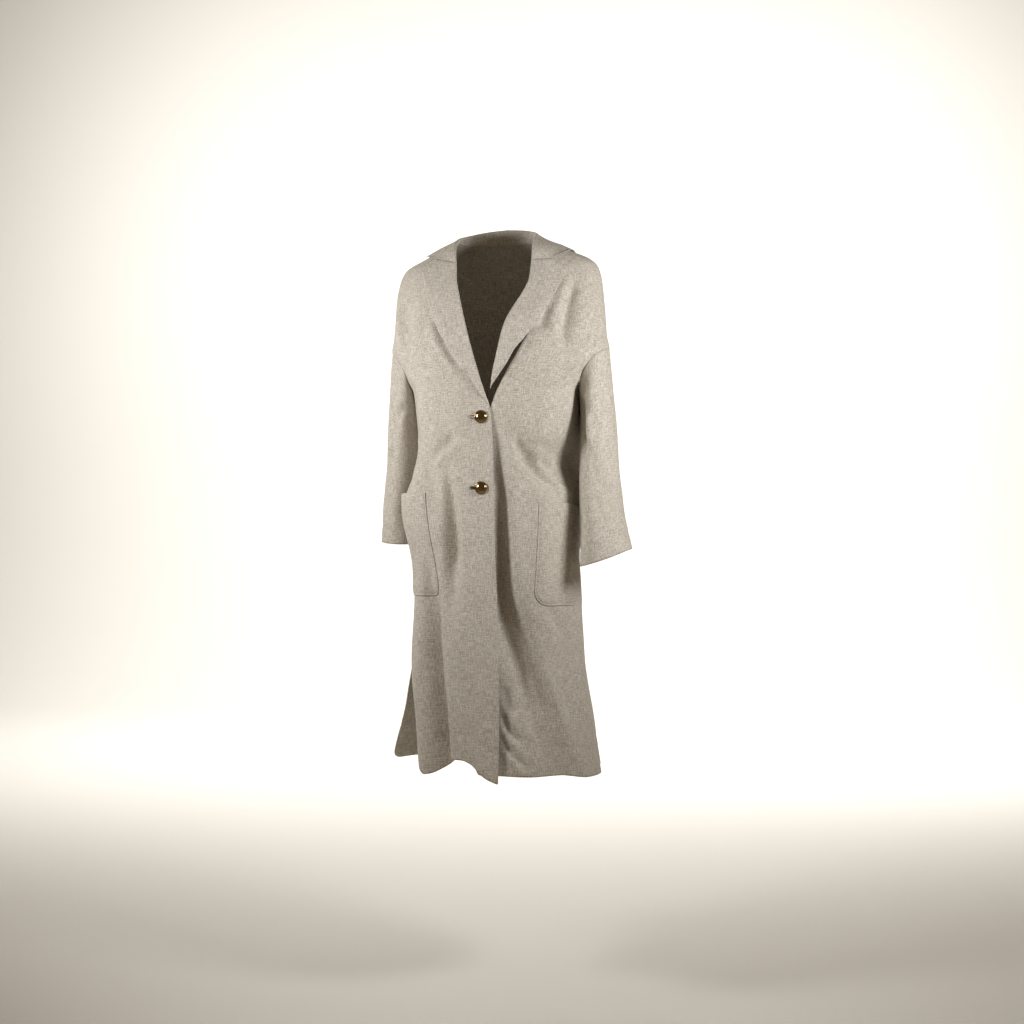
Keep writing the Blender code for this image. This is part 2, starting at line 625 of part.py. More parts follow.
def sleeve_ring(side, turn, drop, height):
    """Points of the free sleeve: ovals round its hanging axis."""
    rings = SLEEVES[side]
    width = read(rings, "half_width", drop) + height
    depth = read(rings, "half_depth", drop) + height
    x = side_sign(side) * (read(rings, "out", drop) + width * np.cos(turn))
    y = read(rings, "back", drop) - depth * np.sin(turn)
    return np.stack([x, y, -drop], axis=-1)


def tube_normals(points):
    """Outward unit normals of a grid of rings."""
    around = np.roll(points, -1, axis=1) - np.roll(points, 1, axis=1)
    down = np.gradient(points, axis=0)
    normal = unit(np.cross(down, around))
    middle = points.mean(axis=1, keepdims=True)
    inward = np.sum(normal * (points - middle)) < 0
    return -normal if inward else normal


def add_sleeve(side):
    """Sleeve from the armhole loop, easing into ovals, down to its tilted cuff."""
    turns, loop = armhole_loop(side)
    rings = SLEEVES[side]
    top, foot = rings[0].drop, rings[-1].drop
    even = np.linspace(0, 2 * math.pi, len(turns), endpoint=False)
    drop = np.broadcast_to(np.linspace(top, foot, SLEEVE_ROWS)[:, None], (SLEEVE_ROWS, len(turns)))
    blend = 1 - smooth_step((drop - top) / ARMHOLE_BLEND)
    turn = even + blend * (turns - even)
    free = sleeve_ring(side, turn, drop, sleeve_fold_height(side, turn, drop))
    start = sleeve_ring(side, turns, np.full_like(turns, top), np.zeros_like(turns))
    points = free + blend[..., None] * (loop - start)[None]
    tilt = CUFF_TILTS[side]
    points[..., 2] -= tilt.height * np.cos(turn - tilt.towards) * smooth_step((drop - top) / (foot - top))
    normals = tube_normals(points)
    return add_wall("sleeve_" + side, points, points - CLOTH * normals, tube=True)


def roll_line(side, drop):
    """Where a lapel turns over: the right one at its front's edge, the left one past it lower down."""
    return read(LEFT_ROLL, "x", drop) if side == "left" else read(FRONT_EDGES, side, drop)


def lapel_outline(side, t):
    """Roll line, free edge and edge lift of a lapel at a share t of its length."""
    rows = LAPELS[side]
    stations = np.linspace(0, 1, len(rows))
    roll_drop, edge_x, edge_drop, edge_lift = (
        smooth_through(stations, column(rows, name), t) for name in LapelRow._fields)
    return roll_line(side, roll_drop), roll_drop, edge_x, edge_drop, edge_lift


def notch_share(side):
    """Where the notch falls on the lapel's top edge, from its roll line to its point."""
    roll_x, _, edge_x, _, _ = lapel_outline(side, np.array(0.0))
    return float((NOTCH[side][0] - roll_x) / (edge_x - roll_x))


def notch_rise(side, share):
    """Rise of the lapel's top edge from its straight line up to the notch."""
    _, roll_drop, _, edge_drop, _ = lapel_outline(side, np.array(0.0))
    at = notch_share(side)
    rise = roll_drop + (edge_drop - roll_drop) * at - NOTCH[side][1]
    return rise * np.where(share < at, share / at, (1 - share) / (1 - at))


def rolled_edge(side, roll_x, roll_drop, raised=0.0):
    """Columns of the outer and inner faces where double cloth rolls round a front's edge."""
    faces = []
    for face in ("outer", "inner"):
        columns = []
        for row in LAPEL_ROLL:
            past, lift = getattr(row, face + "_past"), getattr(row, face + "_lift")
            angle = angle_at(roll_x - side_sign(side) * past, roll_drop - raised)
            columns.append(laid_on(side, angle, roll_drop - raised, lift))
        faces.append(np.stack(columns, axis=1))
    return faces


def add_lapel(side):
    """Lapel laid on its front, rolled round the front's edge at the roll line."""
    shares = np.sort(np.append(LAPEL_SHARES, notch_share(side)))
    lengthwise = np.linspace(0, 1, LAPEL_ROWS)
    share, t = np.meshgrid(shares, lengthwise)
    roll_x, roll_drop, edge_x, edge_drop, edge_lift = lapel_outline(side, t)
    flat_from = side_sign(side) * LAPEL_FLAT_FROM
    x = roll_x + flat_from + (edge_x - roll_x - flat_from) * share
    drop = roll_drop + (edge_drop - roll_drop) * share - notch_rise(side, share) * (1 - t) ** 3
    lift = LAPEL_LIFT + (edge_lift - LAPELS[side][0].edge_lift) * share ** 2
    angle = angle_at(x, drop)
    outer, inner = rolled_edge(side, roll_x[:, 0], roll_drop[:, 0])
    outer = np.concatenate([outer, laid_on(side, angle, drop, lift)], axis=1)
    inner = np.concatenate([inner, laid_on(side, angle, drop, lift - DOUBLE_CLOTH)], axis=1)
    return add_wall("lapel_" + side, outer, inner)


def add_pocket(side):
    """Patch pocket made from its front's points, with rounded lower corners."""
    place = POCKETS[side]
    straight = POCKET_HEIGHT - POCKET_CORNER
    rounding = np.sin(np.radians(POCKET_CORNER_TURNS))
    upright = np.linspace(0, straight, POCKET_STRAIGHT_ROWS, endpoint=False)
    down = np.concatenate([upright, straight + POCKET_CORNER * rounding])
    past = np.maximum(down - straight, 0)
    cut_in = (POCKET_CORNER - np.sqrt(POCKET_CORNER ** 2 - past ** 2)) / place.width
    first, second = pocket_edge_shares(side, place.top_drop + down)
    across = cut_in[:, None] + (1 - 2 * cut_in)[:, None] * np.linspace(0, 1, FRONT_SPANS[1] + 1)
    share = first[:, None] + (second - first)[:, None] * across
    slant = POCKET_SLANT * across * (1 - POCKET_SLANT_LOST * down[:, None] / POCKET_HEIGHT)
    drop = place.top_drop + down[:, None] + slant
    angle = front_angle(side, share, drop)
    gape = place.mouth_lift * np.exp(-down / POCKET_GAPE_DEPTH)[:, None]
    gape = gape * np.sin(math.pi * across ** POCKET_GAPE_SKEW)
    inner = laid_on(side, angle, drop, POCKET_GAP + gape)
    outer = laid_on(side, angle, drop, POCKET_GAP + gape + CLOTH)
    return add_wall("pocket_" + side, outer, inner)


def laid_on_body(side, angle, drop, lift):
    """Points laid on a front, or on the back past the shoulder seam."""
    on_front = (np.abs(angle) < SHOULDER_SEAM)[..., None]
    return np.where(on_front, laid_on(side, angle, drop, lift), laid_on("back", angle, drop, lift))


def collar_end(side):
    """Faces of the collar's end: along the gorge to the notch, then out to its tip."""
    roll_x, roll_drop, _, _, _ = lapel_outline(side, np.zeros(1))
    rolled = rolled_edge(side, roll_x, roll_drop, SEAM_GAP)
    tip = COLLAR[side][0]
    tip_x = side_sign(side) * read(BODY, side, tip.edge_drop) * math.sin(math.radians(tip.edge_angle))
    flat_x = roll_x[0] + side_sign(side) * LAPEL_FLAT_FROM
    stations = (COLLAR_SHARES[0], NOTCH_SHARE, COLLAR_SHARES[-1])
    x = np.interp(COLLAR_SHARES, stations, (flat_x, NOTCH[side][0], tip_x))
    drop = np.interp(COLLAR_SHARES, stations, (roll_drop[0], NOTCH[side][1], tip.edge_drop)) - SEAM_GAP
    angle = angle_at(x, drop)
    lift = LAPEL_LIFT + COLLAR_TIP_LIFT * np.array(COLLAR_SHARES) ** 2
    return [np.concatenate([rolled[0][0], laid_on(side, angle, drop, lift)]),
            np.concatenate([rolled[1][0], laid_on(side, angle, drop, lift - DOUBLE_CLOTH)])]


def collar_roll(foot, roll, outward):
    """Outer and inner columns of the stand and the roll, up to where the fall starts."""
    near = roll - outward * COLLAR_ROLL_HALF - UP * COLLAR_ROLL_DROP
    far = roll + outward * COLLAR_ROLL_HALF - UP * COLLAR_ROLL_DROP
    outer = [foot, (foot + near) / 2, near, roll]
    inner = [point + outward * DOUBLE_CLOTH for point in outer[:3]] + [roll - UP * DOUBLE_CLOTH]
    return outer, inner, far


def collar_half(side):
    """Outer and inner faces of half the collar, from its end on a front to the centre back."""
    t = np.linspace(0, 1, COLLAR_ROWS // 2 + 1)
    rows = COLLAR[side]
    foot_angle, foot_drop, roll_out, roll_back, roll_rise, edge_angle, edge_drop = (
        smooth_through(np.linspace(0, 1, len(rows)), column(rows, name), t) for name in CollarRow._fields)
    sign = side_sign(side)
    on_front = np.abs(angle_at(read(FRONT_EDGES, side, foot_drop), foot_drop))
    foot_angle = sign * np.where(foot_angle < 90, on_front, np.radians(foot_angle))
    edge_angle = sign * np.radians(edge_angle)
    neck = body_form(foot_angle, foot_drop)
    outward = unit(neck * np.array([1.0, 1.0, 0.0]))
    foot = laid_on_body(side, foot_angle, foot_drop, np.full_like(t, COLLAR_FOOT_LIFT))
    roll = np.stack([sign * roll_out, roll_back, roll_rise], axis=-1)
    outer, inner, far = collar_roll(foot - outward * COLLAR_FOOT_INSET, roll, outward)
    lying = laid_on_body(side, foot_angle, foot_drop, np.full_like(t, COLLAR_LIFT))
    for share in COLLAR_SHARES:
        angle = foot_angle + (edge_angle - foot_angle) * share
        drop = foot_drop + (edge_drop - foot_drop) * share
        raised = (far - lying) * (1 - share) ** 2
        outer.append(laid_on_body(side, angle, drop, np.full_like(t, COLLAR_LIFT)) + raised)
        inner.append(laid_on_body(side, angle, drop, np.full_like(t, COLLAR_LIFT - DOUBLE_CLOTH)) + raised)
    ease = (np.clip(1 - t / GORGE_EASE, 0, 1) ** 2)[:, None, None]
    halves = []
    for face, end in zip((outer, inner), collar_end(side)):
        face = np.stack(face, axis=1)
        halves.append(face + ease * (end - face[0])[None])
    return halves


def add_collar():
    """Collar: a stand rising from the neckline, rolled over into its fall."""
    left, right = collar_half("left"), collar_half("right")
    outer, inner = (np.concatenate([a, b[-2::-1]], axis=0) for a, b in zip(left, right))
    return add_wall("collar", outer, inner)


def closure_point(drop, lift):
    """Point and outward direction at the button line of the right front."""
    drop = np.array([drop])
    angle = angle_at(np.array([BUTTON_X]), drop)
    normal = normal_of(partial(cloth, "right"), angle, drop)[0]
    return laid_on("right", angle, drop, lift)[0], normal


def lathe(rows, segments):
    """Closed turned solid along +Z from rows of radius and height, with a point at both ends."""
    solid = bmesh.new()
    (_, start), *rings, (_, end) = rows
    first = solid.verts.new((0, 0, start))
    last = solid.verts.new((0, 0, end))
    turns = np.linspace(0, 2 * math.pi, segments, endpoint=False)
    loops = [[solid.verts.new((r * math.cos(a), r * math.sin(a), h)) for a in turns] for r, h in rings]
    for k in range(segments):
        n = (k + 1) % segments
        solid.faces.new((first, loops[0][n], loops[0][k]))
        solid.faces.new((last, loops[-1][k], loops[-1][n]))
        for low, high in zip(loops, loops[1:]):
            solid.faces.new((low[k], low[n], high[n], high[k]))
    return solid


def facing(point, normal):
    """Placement whose +Z runs along a normal and whose X stays level."""
    z = Vector(normal)
    x = Vector((0, 0, 1)).cross(z).normalized()
    placement = Matrix((x, z.cross(x), z)).transposed().to_4x4()
    placement.translation = Vector(point)
    return placement


def add_button(name, drop):
    """Domed shank button whose shank passes the buttonhole down to the left front."""
    point, normal = closure_point(drop, BUTTON_STANDOFF)
    shank_end = -(BUTTON_STANDOFF + CLOTH + LAYER_GAP - SEAM_GAP)
    rows = [(0, shank_end), (SHANK_RADIUS, shank_end), *BUTTON_PROFILE, (0, BUTTON_CROWN)]
    solid = lathe(rows, BUTTON_SEGMENTS)
    bmesh.ops.transform(solid, matrix=facing(point, normal), verts=solid.verts)
    return add_object(name, solid, BRASS)


def cut_buttonhole(front, drop):
    """Level slit from just past the shank, away from the front edge."""
    point, normal = closure_point(drop, 0.0)
    start, end = BUTTONHOLE_REACH
    cutter = bmesh.new()
    bmesh.ops.create_cube(cutter, size=1.0)
    size = Matrix.Diagonal((end - start, BUTTONHOLE_HEIGHT, BUTTONHOLE_DEPTH, 1))
    shift = Matrix.Translation(((start + end) / 2, 0, 0))
    bmesh.ops.transform(cutter, matrix=facing(point, normal) @ shift @ size, verts=cutter.verts)
    slit = add_object("buttonhole_cutter", cutter)
    slit.hide_render = True
    slit.display_type = "WIRE"
    boolean = front.modifiers.new("buttonhole", "BOOLEAN")
    boolean.operation = "DIFFERENCE"
    boolean.solver = "EXACT"
    boolean.object = slit


def build():
    for node in list(bpy.data.objects):
        bpy.data.objects.remove(node)
    for side in ("left", "right"):
        front = add_front(side)
        add_sleeve(side)
        add_lapel(side)
        add_pocket(side)
    for drop in BUTTON_DROPS:
        cut_buttonhole(front, drop)
    add_back()
    add_collar()
    add_button("button_upper", BUTTON_DROPS[0])
    add_button("button_lower", BUTTON_DROPS[1])


build()
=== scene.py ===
# %% [markdown]
# # A long linen coat, worn and hollow
# The coat is an unlined, oatmeal linen duster: two fronts, a one-piece back, dropped sleeves, a notched
# collar and lapels, two patch pockets and two domed brass buttons. It keeps the hollow shape it has when
# worn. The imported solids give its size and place; this file gives it cloth that looks like cloth.

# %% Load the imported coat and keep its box
import json
import math
from collections import namedtuple
from functools import partial

import bmesh
import bpy
import numpy as np
from mathutils import Matrix, Vector

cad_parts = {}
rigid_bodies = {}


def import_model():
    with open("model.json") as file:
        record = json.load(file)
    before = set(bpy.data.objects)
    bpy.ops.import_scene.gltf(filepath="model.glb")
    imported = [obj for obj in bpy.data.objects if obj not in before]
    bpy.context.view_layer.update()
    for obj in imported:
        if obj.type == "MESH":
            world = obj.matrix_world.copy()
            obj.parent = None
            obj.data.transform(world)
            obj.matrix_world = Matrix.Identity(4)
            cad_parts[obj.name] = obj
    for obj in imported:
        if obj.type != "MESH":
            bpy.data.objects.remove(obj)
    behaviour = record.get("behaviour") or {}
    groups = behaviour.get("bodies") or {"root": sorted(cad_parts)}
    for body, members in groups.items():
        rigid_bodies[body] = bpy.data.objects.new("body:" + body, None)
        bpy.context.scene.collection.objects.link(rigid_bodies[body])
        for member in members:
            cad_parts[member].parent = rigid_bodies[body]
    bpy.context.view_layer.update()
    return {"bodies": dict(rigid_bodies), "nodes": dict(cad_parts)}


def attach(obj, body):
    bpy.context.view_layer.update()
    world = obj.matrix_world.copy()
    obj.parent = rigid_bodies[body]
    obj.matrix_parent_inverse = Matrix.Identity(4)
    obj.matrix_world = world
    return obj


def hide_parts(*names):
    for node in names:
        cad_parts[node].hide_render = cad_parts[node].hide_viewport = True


for leftover in list(bpy.data.objects):
    bpy.data.objects.remove(leftover)
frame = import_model()
BODY_NAME = next(iter(frame["bodies"]))
print("loaded", len(frame["nodes"]), "nodes on body", BODY_NAME)

# %% [markdown]
# ## Camera
# The photograph was taken level with the hips, from a little towards the wearer's left. A pinhole camera
# is settled by four numbers: how far round it stands, how far away, how high, and how many pixels a metre
# at one metre covers. The small shift puts the coat's middle on the same column as in the photograph. A
# camera can be set by eye in the viewport too, but numbers can be worked out and corrected one at a time.

# %% Camera
PICTURE = 1024
CAMERA_TURN = math.radians(14)
CAMERA_DISTANCE = 3.0
CAMERA_HEIGHT = -0.538
FOCAL_PIXELS = 1500
MIDDLE_COLUMN = 501


def in_scene(name, data):
    """New object with this data, linked to the scene."""
    placed = bpy.data.objects.new(name, data)
    bpy.context.scene.collection.objects.link(placed)
    return placed


camera_data = bpy.data.cameras.new("camera")
camera = in_scene("camera", camera_data)
camera_data.lens = FOCAL_PIXELS * camera_data.sensor_width / PICTURE
camera_data.shift_x = (PICTURE / 2 - MIDDLE_COLUMN) / PICTURE
camera.location = (CAMERA_DISTANCE * math.sin(CAMERA_TURN), -CAMERA_DISTANCE * math.cos(CAMERA_TURN),
                   CAMERA_HEIGHT)
camera.rotation_euler = (math.pi / 2, 0, CAMERA_TURN)
bpy.context.scene.camera = camera
print("camera lens", round(camera_data.lens, 2), "mm")

# %% [markdown]
# ## Studio
# The photograph was lit by two lamps near the coat, level with its chest and to either side of the camera,
# about equally strong. The coat grows darker towards its hem because the lamps are near, and its folds hold
# warm shade. Two softboxes give that, a warm dim world fills the folds, and two more are aimed at the paper.
# A picture of a studio wrapped round the world could light it too, but it has no near lamps.

# %% Studio light and pale sweep
FLOOR_HEIGHT = -1.50
SWEEP_BACK = 4.2
SWEEP_BEND = 1.6
SWEEP_HALF = 9.0
SWEEP_STEPS = 16
AIM = Vector((0.0, 0.0, -0.30))
Softbox = namedtuple("Softbox", "name turn rise distance size power")
SOFTBOXES = (
    Softbox("key", 48, 8, 0.95, 0.26, 6.5),
    Softbox("second", -60, 5, 0.95, 0.26, 6.7),
    Softbox("paper_left", -140, 30, 3.6, 1.6, 135),
    Softbox("paper_right", 140, 30, 3.6, 1.6, 135),
)
PAPER_AIM = Vector((0.0, 5.0, 0.0))
PAPER_COLOUR = (0.86, 0.83, 0.78, 1.0)
PAPER_ROUGHNESS = 0.9
WORLD_STRENGTH = 0.14
WORLD_COLOUR = (1.0, 0.82, 0.55, 1.0)


def add_softbox(box):
    """Square light standing at a turn from the camera's direction, aimed at the coat or at the paper."""
    turn = CAMERA_TURN + math.radians(box.turn)
    rise = math.radians(box.rise)
    data = bpy.data.lights.new(box.name, "AREA")
    data.energy = box.power
    data.size = box.size
    light = in_scene(box.name, data)
    away = Vector((math.sin(turn) * math.cos(rise), -math.cos(turn) * math.cos(rise), math.sin(rise)))
    light.location = AIM + away * box.distance
    light.visible_camera = False
    towards = PAPER_AIM - light.location if box.name.startswith("paper") else -away
    light.rotation_euler = towards.to_track_quat("-Z", "Y").to_euler()


def new_material(name):
    """New node material and its one shader."""
    material = bpy.data.materials.new(name)
    material.use_nodes = True
    return material, material.node_tree.nodes["Principled BSDF"]


def paper_material():
    material, shader = new_material("pale_paper")
    shader.inputs["Base Color"].default_value = PAPER_COLOUR
    shader.inputs["Roughness"].default_value = PAPER_ROUGHNESS
    return material


def add_sweep():
    """Paper that runs along the floor and curves up behind the coat."""
    turns = np.linspace(0, math.pi / 2, SWEEP_STEPS)
    bend = [(SWEEP_BACK + SWEEP_BEND * math.sin(a), SWEEP_BEND * (1 - math.cos(a))) for a in turns]
    profile = [(-SWEEP_HALF, 0.0), *bend, (SWEEP_BACK + SWEEP_BEND, SWEEP_HALF)]
    points = [(x, y, FLOOR_HEIGHT + z) for x in (-SWEEP_HALF, SWEEP_HALF) for y, z in profile]
    count = len(profile)
    faces = [(i, i + count, i + count + 1, i + 1) for i in range(count - 1)]
    mesh = bpy.data.meshes.new("sweep")
    mesh.from_pydata(points, [], faces)
    mesh.shade_smooth()
    mesh.materials.append(paper_material())
    sweep = in_scene("sweep", mesh)
    sweep.rotation_euler = (0, 0, CAMERA_TURN)


for softbox in SOFTBOXES:
    add_softbox(softbox)
add_sweep()
world = bpy.data.worlds.new("studio")
world.use_nodes = True
world.node_tree.nodes["Background"].inputs["Strength"].default_value = WORLD_STRENGTH
world.node_tree.nodes["Background"].inputs["Color"].default_value = WORLD_COLOUR
bpy.context.scene.world = world
bpy.context.scene.view_settings.view_transform = "Standard"
print("studio:", len(SOFTBOXES), "softboxes")

# %% [markdown]
# ## The form under the cloth
# A tailor's panels can be flat, but worn cloth wraps a form. Here the form is a stack of ovals, one row for
# each level, read by angle (0 at the centre front, +90 degrees at the wearer's left, 180 at the centre back)
# and by drop, the distance below the neck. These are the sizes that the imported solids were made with, so a
# fine grid worked out from them lies on those solids. Sculpting on the solids would also work, but a formula
# can be read at any fineness, and whatever lies on a panel can be worked out from the same points.

# %% Ovals of the body
CLOTH = 0.0015
DOUBLE_CLOTH = 0.0022
SEAM_GAP = 0.0003
LAYER_GAP = 0.0005
SHOULDER_SEAM = math.radians(90)
SIDE_SEAM = math.radians(100)
NORMAL_STEP = 0.003
UP = np.array([0.0, 0.0, 1.0])

Section = namedtuple("Section", "drop left right front back")
BODY = (
    Section(-0.012, 0.060, 0.060, 0.044, 0.056),
    Section(-0.004, 0.078, 0.078, 0.056, 0.064),
    Section(0.006, 0.100, 0.100, 0.065, 0.071),
    Section(0.0155, 0.125, 0.125, 0.071, 0.077),
    Section(0.026, 0.148, 0.148, 0.076, 0.083),
    Section(0.0335, 0.167, 0.163, 0.079, 0.087),
    Section(0.0415, 0.183, 0.180, 0.082, 0.091),
    Section(0.055, 0.197, 0.198, 0.088, 0.096),
    Section(0.080, 0.2045, 0.2085, 0.099, 0.102),
    Section(0.125, 0.209, 0.216, 0.118, 0.109),
    Section(0.190, 0.2140, 0.220, 0.138, 0.113),
    Section(0.217, 0.2195, 0.2235, 0.142, 0.113),
    Section(0.245, 0.204, 0.208, 0.146, 0.112),
    Section(0.272, 0.178, 0.192, 0.1475, 0.111),
    Section(0.300, 0.159, 0.1755, 0.148, 0.110),
    Section(0.345, 0.154, 0.170, 0.148, 0.108),
    Section(0.390, 0.147, 0.167, 0.147, 0.106),
    Section(0.445, 0.129, 0.167, 0.146, 0.108),
    Section(0.510, 0.156, 0.170, 0.147, 0.114),
    Section(0.600, 0.157, 0.171, 0.149, 0.122),
    Section(0.710, 0.162, 0.174, 0.151, 0.127),
    Section(0.830, 0.169, 0.180, 0.153, 0.131),
    Section(0.930, 0.184, 0.171, 0.155, 0.135),
    Section(1.080, 0.206, 0.157, 0.158, 0.141),
)


def column(table, name):
    """One named column of a table."""
    return np.array([getattr(row, name) for row in table])


def smooth_through(stations, values, at):
    """Monotone cubic through values at rising stations, held level past both ends."""
    stations, values = np.asarray(stations, float), np.asarray(values, float)
    spans = np.diff(stations)
    slopes = np.diff(values) / spans
    before, after = slopes[:-1], slopes[1:]
    same_way = before * after > 0
    mean = np.where(same_way, 2 * before * after / np.where(same_way, before + after, 1), 0)
    tangents = np.concatenate([slopes[:1], mean, slopes[-1:]])
    at = np.clip(at, stations[0], stations[-1])
    i = np.clip(np.searchsorted(stations, at) - 1, 0, len(spans) - 1)
    t = (at - stations[i]) / spans[i]
    start = (1 + 2 * t) * (1 - t) ** 2 * values[i] + t * (1 - t) ** 2 * spans[i] * tangents[i]
    end = t * t * (3 - 2 * t) * values[i + 1] + t * t * (t - 1) * spans[i] * tangents[i + 1]
    return start + end


def smooth_step(share):
    share = np.clip(share, 0, 1)
    return share * share * (3 - 2 * share)


def read(table, name, drop):
    """A column of a table whose first column is the drop, read at any drop."""
    return smooth_through(column(table, "drop"), column(table, name), drop)


def unit(vectors):
    return vectors / np.linalg.norm(vectors, axis=-1, keepdims=True)


def body_form(angle, drop):
    """Point of the coat's form before its folds."""
    widths = np.where(np.sin(angle) > 0, read(BODY, "left", drop), read(BODY, "right", drop))
    depths = np.where(np.cos(angle) > 0, read(BODY, "front", drop), read(BODY, "back", drop))
    return np.stack([widths * np.sin(angle), -depths * np.cos(angle), -drop], axis=-1)


def normal_of(surface, angle, drop):
    """Outward unit normal of a surface read by angle and drop."""
    across = surface(angle + NORMAL_STEP, drop) - surface(angle - NORMAL_STEP, drop)
    down = surface(angle, drop + NORMAL_STEP) - surface(angle, drop - NORMAL_STEP)
    return unit(np.cross(down, across))


def angle_at(x, drop):
    """Angle on the front half of the form where it reaches x."""
    width = np.where(x > 0, read(BODY, "left", drop), read(BODY, "right", drop))
    return np.arcsin(np.clip(x / width, -1, 1))


def side_sign(side):
    return 1 if side == "left" else -1


print("form:", len(BODY), "ovals over", BODY[-1].drop - BODY[0].drop, "m")

# %% [markdown]
# ## Large folds
# The deepest folds hang from the chest and the waist and open towards the hem. Each is one row: where it
# starts and ends, how wide it is in degrees, and how far it stands out or sinks in half way and at its foot.
# The solids have the same rows. A cloth simulation would find folds of its own, but not the ones in the
# photograph, so these are listed one by one.

# %% Large folds
Fold = namedtuple("Fold", "panel top top_angle foot foot_angle half_width middle end")
FOLDS = (
    Fold("right", 0.42, -27, 0.80, -20, 7, -0.024, 0.000),
    Fold("right", 0.56, -43, 1.12, -30, 8, -0.032, -0.036),
    Fold("right", 0.62, -30, 1.12, -16, 7, 0.007, 0.006),
    Fold("right", 0.56, -58, 1.12, -50, 13, 0.008, 0.014),
    Fold("right", 0.34, -55, 0.60, -30, 8, -0.010, 0.000),
    Fold("right", 0.40, -68, 0.68, -62, 15, 0.026, 0.000),
    Fold("left", 0.33, 8, 0.84, 16, 7.5, -0.028, 0.000),
    Fold("left", 0.36, 18, 0.96, 40, 8, 0.008, 0.004),
    Fold("left", 0.60, 6, 1.06, 46, 10, -0.034, -0.008),
    Fold("left", 0.72, 30, 1.08, 66, 8, 0.010, 0.004),
    Fold("left", 0.36, 36, 0.86, 44, 11, 0.009, 0.000),
    Fold("left", 0.35, 16, 0.54, 66, 8, -0.014, 0.000),
    Fold("left", 0.62, 80, 1.02, 52, 11, -0.012, -0.004),
    Fold("left", 0.72, 22, 1.16, 30, 8, 0.004, 0.008),
    Fold("left", 0.05, 55, 0.28, 42, 7, -0.009, 0.000),
    Fold("left", 0.23, 72, 0.43, 60, 9, 0.012, 0.000),
    Fold("right", 0.06, -54, 0.29, -45, 8, -0.006, 0.000),
    Fold("back", 0.16, 150, 1.12, 142, 13, -0.012, -0.022),
    Fold("back", 0.30, 172, 1.12, 176, 12, 0.008, 0.016),
    Fold("back", 0.20, 208, 1.12, 206, 12, -0.010, -0.020),
    Fold("back", 0.32, 124, 1.12, 120, 11, 0.006, 0.014),
    Fold("back", 0.34, 232, 1.12, 230, 12, 0.006, 0.010),
    Fold("back", 0.76, 262, 1.08, 260, 30, 0.042, 0.094),
    Fold("back", 0.295, 112, 0.64, 112, 15, 0.040, 0.000),
    Fold("left", 0.295, 112, 0.64, 112, 15, 0.040, 0.000),
    Fold("back", 0.12, 118, 0.34, 128, 9, -0.007, 0.000),
    Fold("back", 0.12, 242, 0.34, 232, 9, -0.007, 0.000),
    Fold("left", 0.21, 50, 0.50, 44, 15, 0.009, 0.000),
    Fold("right", 0.21, -50, 0.50, -44, 15, 0.009, 0.000),
    Fold("back", 0.21, 128, 0.50, 134, 15, 0.009, 0.000),
    Fold("back", 0.21, 232, 0.50, 226, 15, 0.009, 0.000),
)
FOLD_STATIONS = (-0.2, 0.0, 0.5, 1.0, 1.2)
OVERLAP_FROM = -0.075
OVERLAP_FLAT = -0.040
UNDERLAP_DEPTH = 0.010
UNDERLAP_FROM = 0.50
UNDERLAP_FULL = 0.70
UNDERLAP_EDGE = 0.030
UNDERLAP_END = 0.075


def fold_height(panel, angle, drop):
    """How far the large folds of a panel stand out at each point."""
    height = np.zeros_like(drop)
    for fold in FOLDS:
        if fold.panel != panel:
            continue
        share = (drop - fold.top) / (fold.foot - fold.top)
        centre = fold.top_angle + (fold.foot_angle - fold.top_angle) * np.clip(share, 0, 1)
        off = (np.degrees(angle) - centre + 180) % 360 - 180
        along = smooth_through(FOLD_STATIONS, (0, 0, fold.middle, fold.end, fold.end), share)
        height = height + along * np.exp(-(off / fold.half_width) ** 2)
    return height


def overlap_lift(panel, angle, drop):
    """At the closure the right front rides over the left one, which sinks a little lower down."""
    x = body_form(angle, drop)[..., 0]
    if panel == "right":
        return (CLOTH + LAYER_GAP) * smooth_step((x - OVERLAP_FROM) / (OVERLAP_FLAT - OVERLAP_FROM))
    if panel == "left":
        lower = smooth_step((drop - UNDERLAP_FROM) / (UNDERLAP_FULL - UNDERLAP_FROM))
        return -UNDERLAP_DEPTH * lower * smooth_step((UNDERLAP_END - x) / (UNDERLAP_END - UNDERLAP_EDGE))
    return np.zeros_like(drop)


print("large folds:", len(FOLDS))
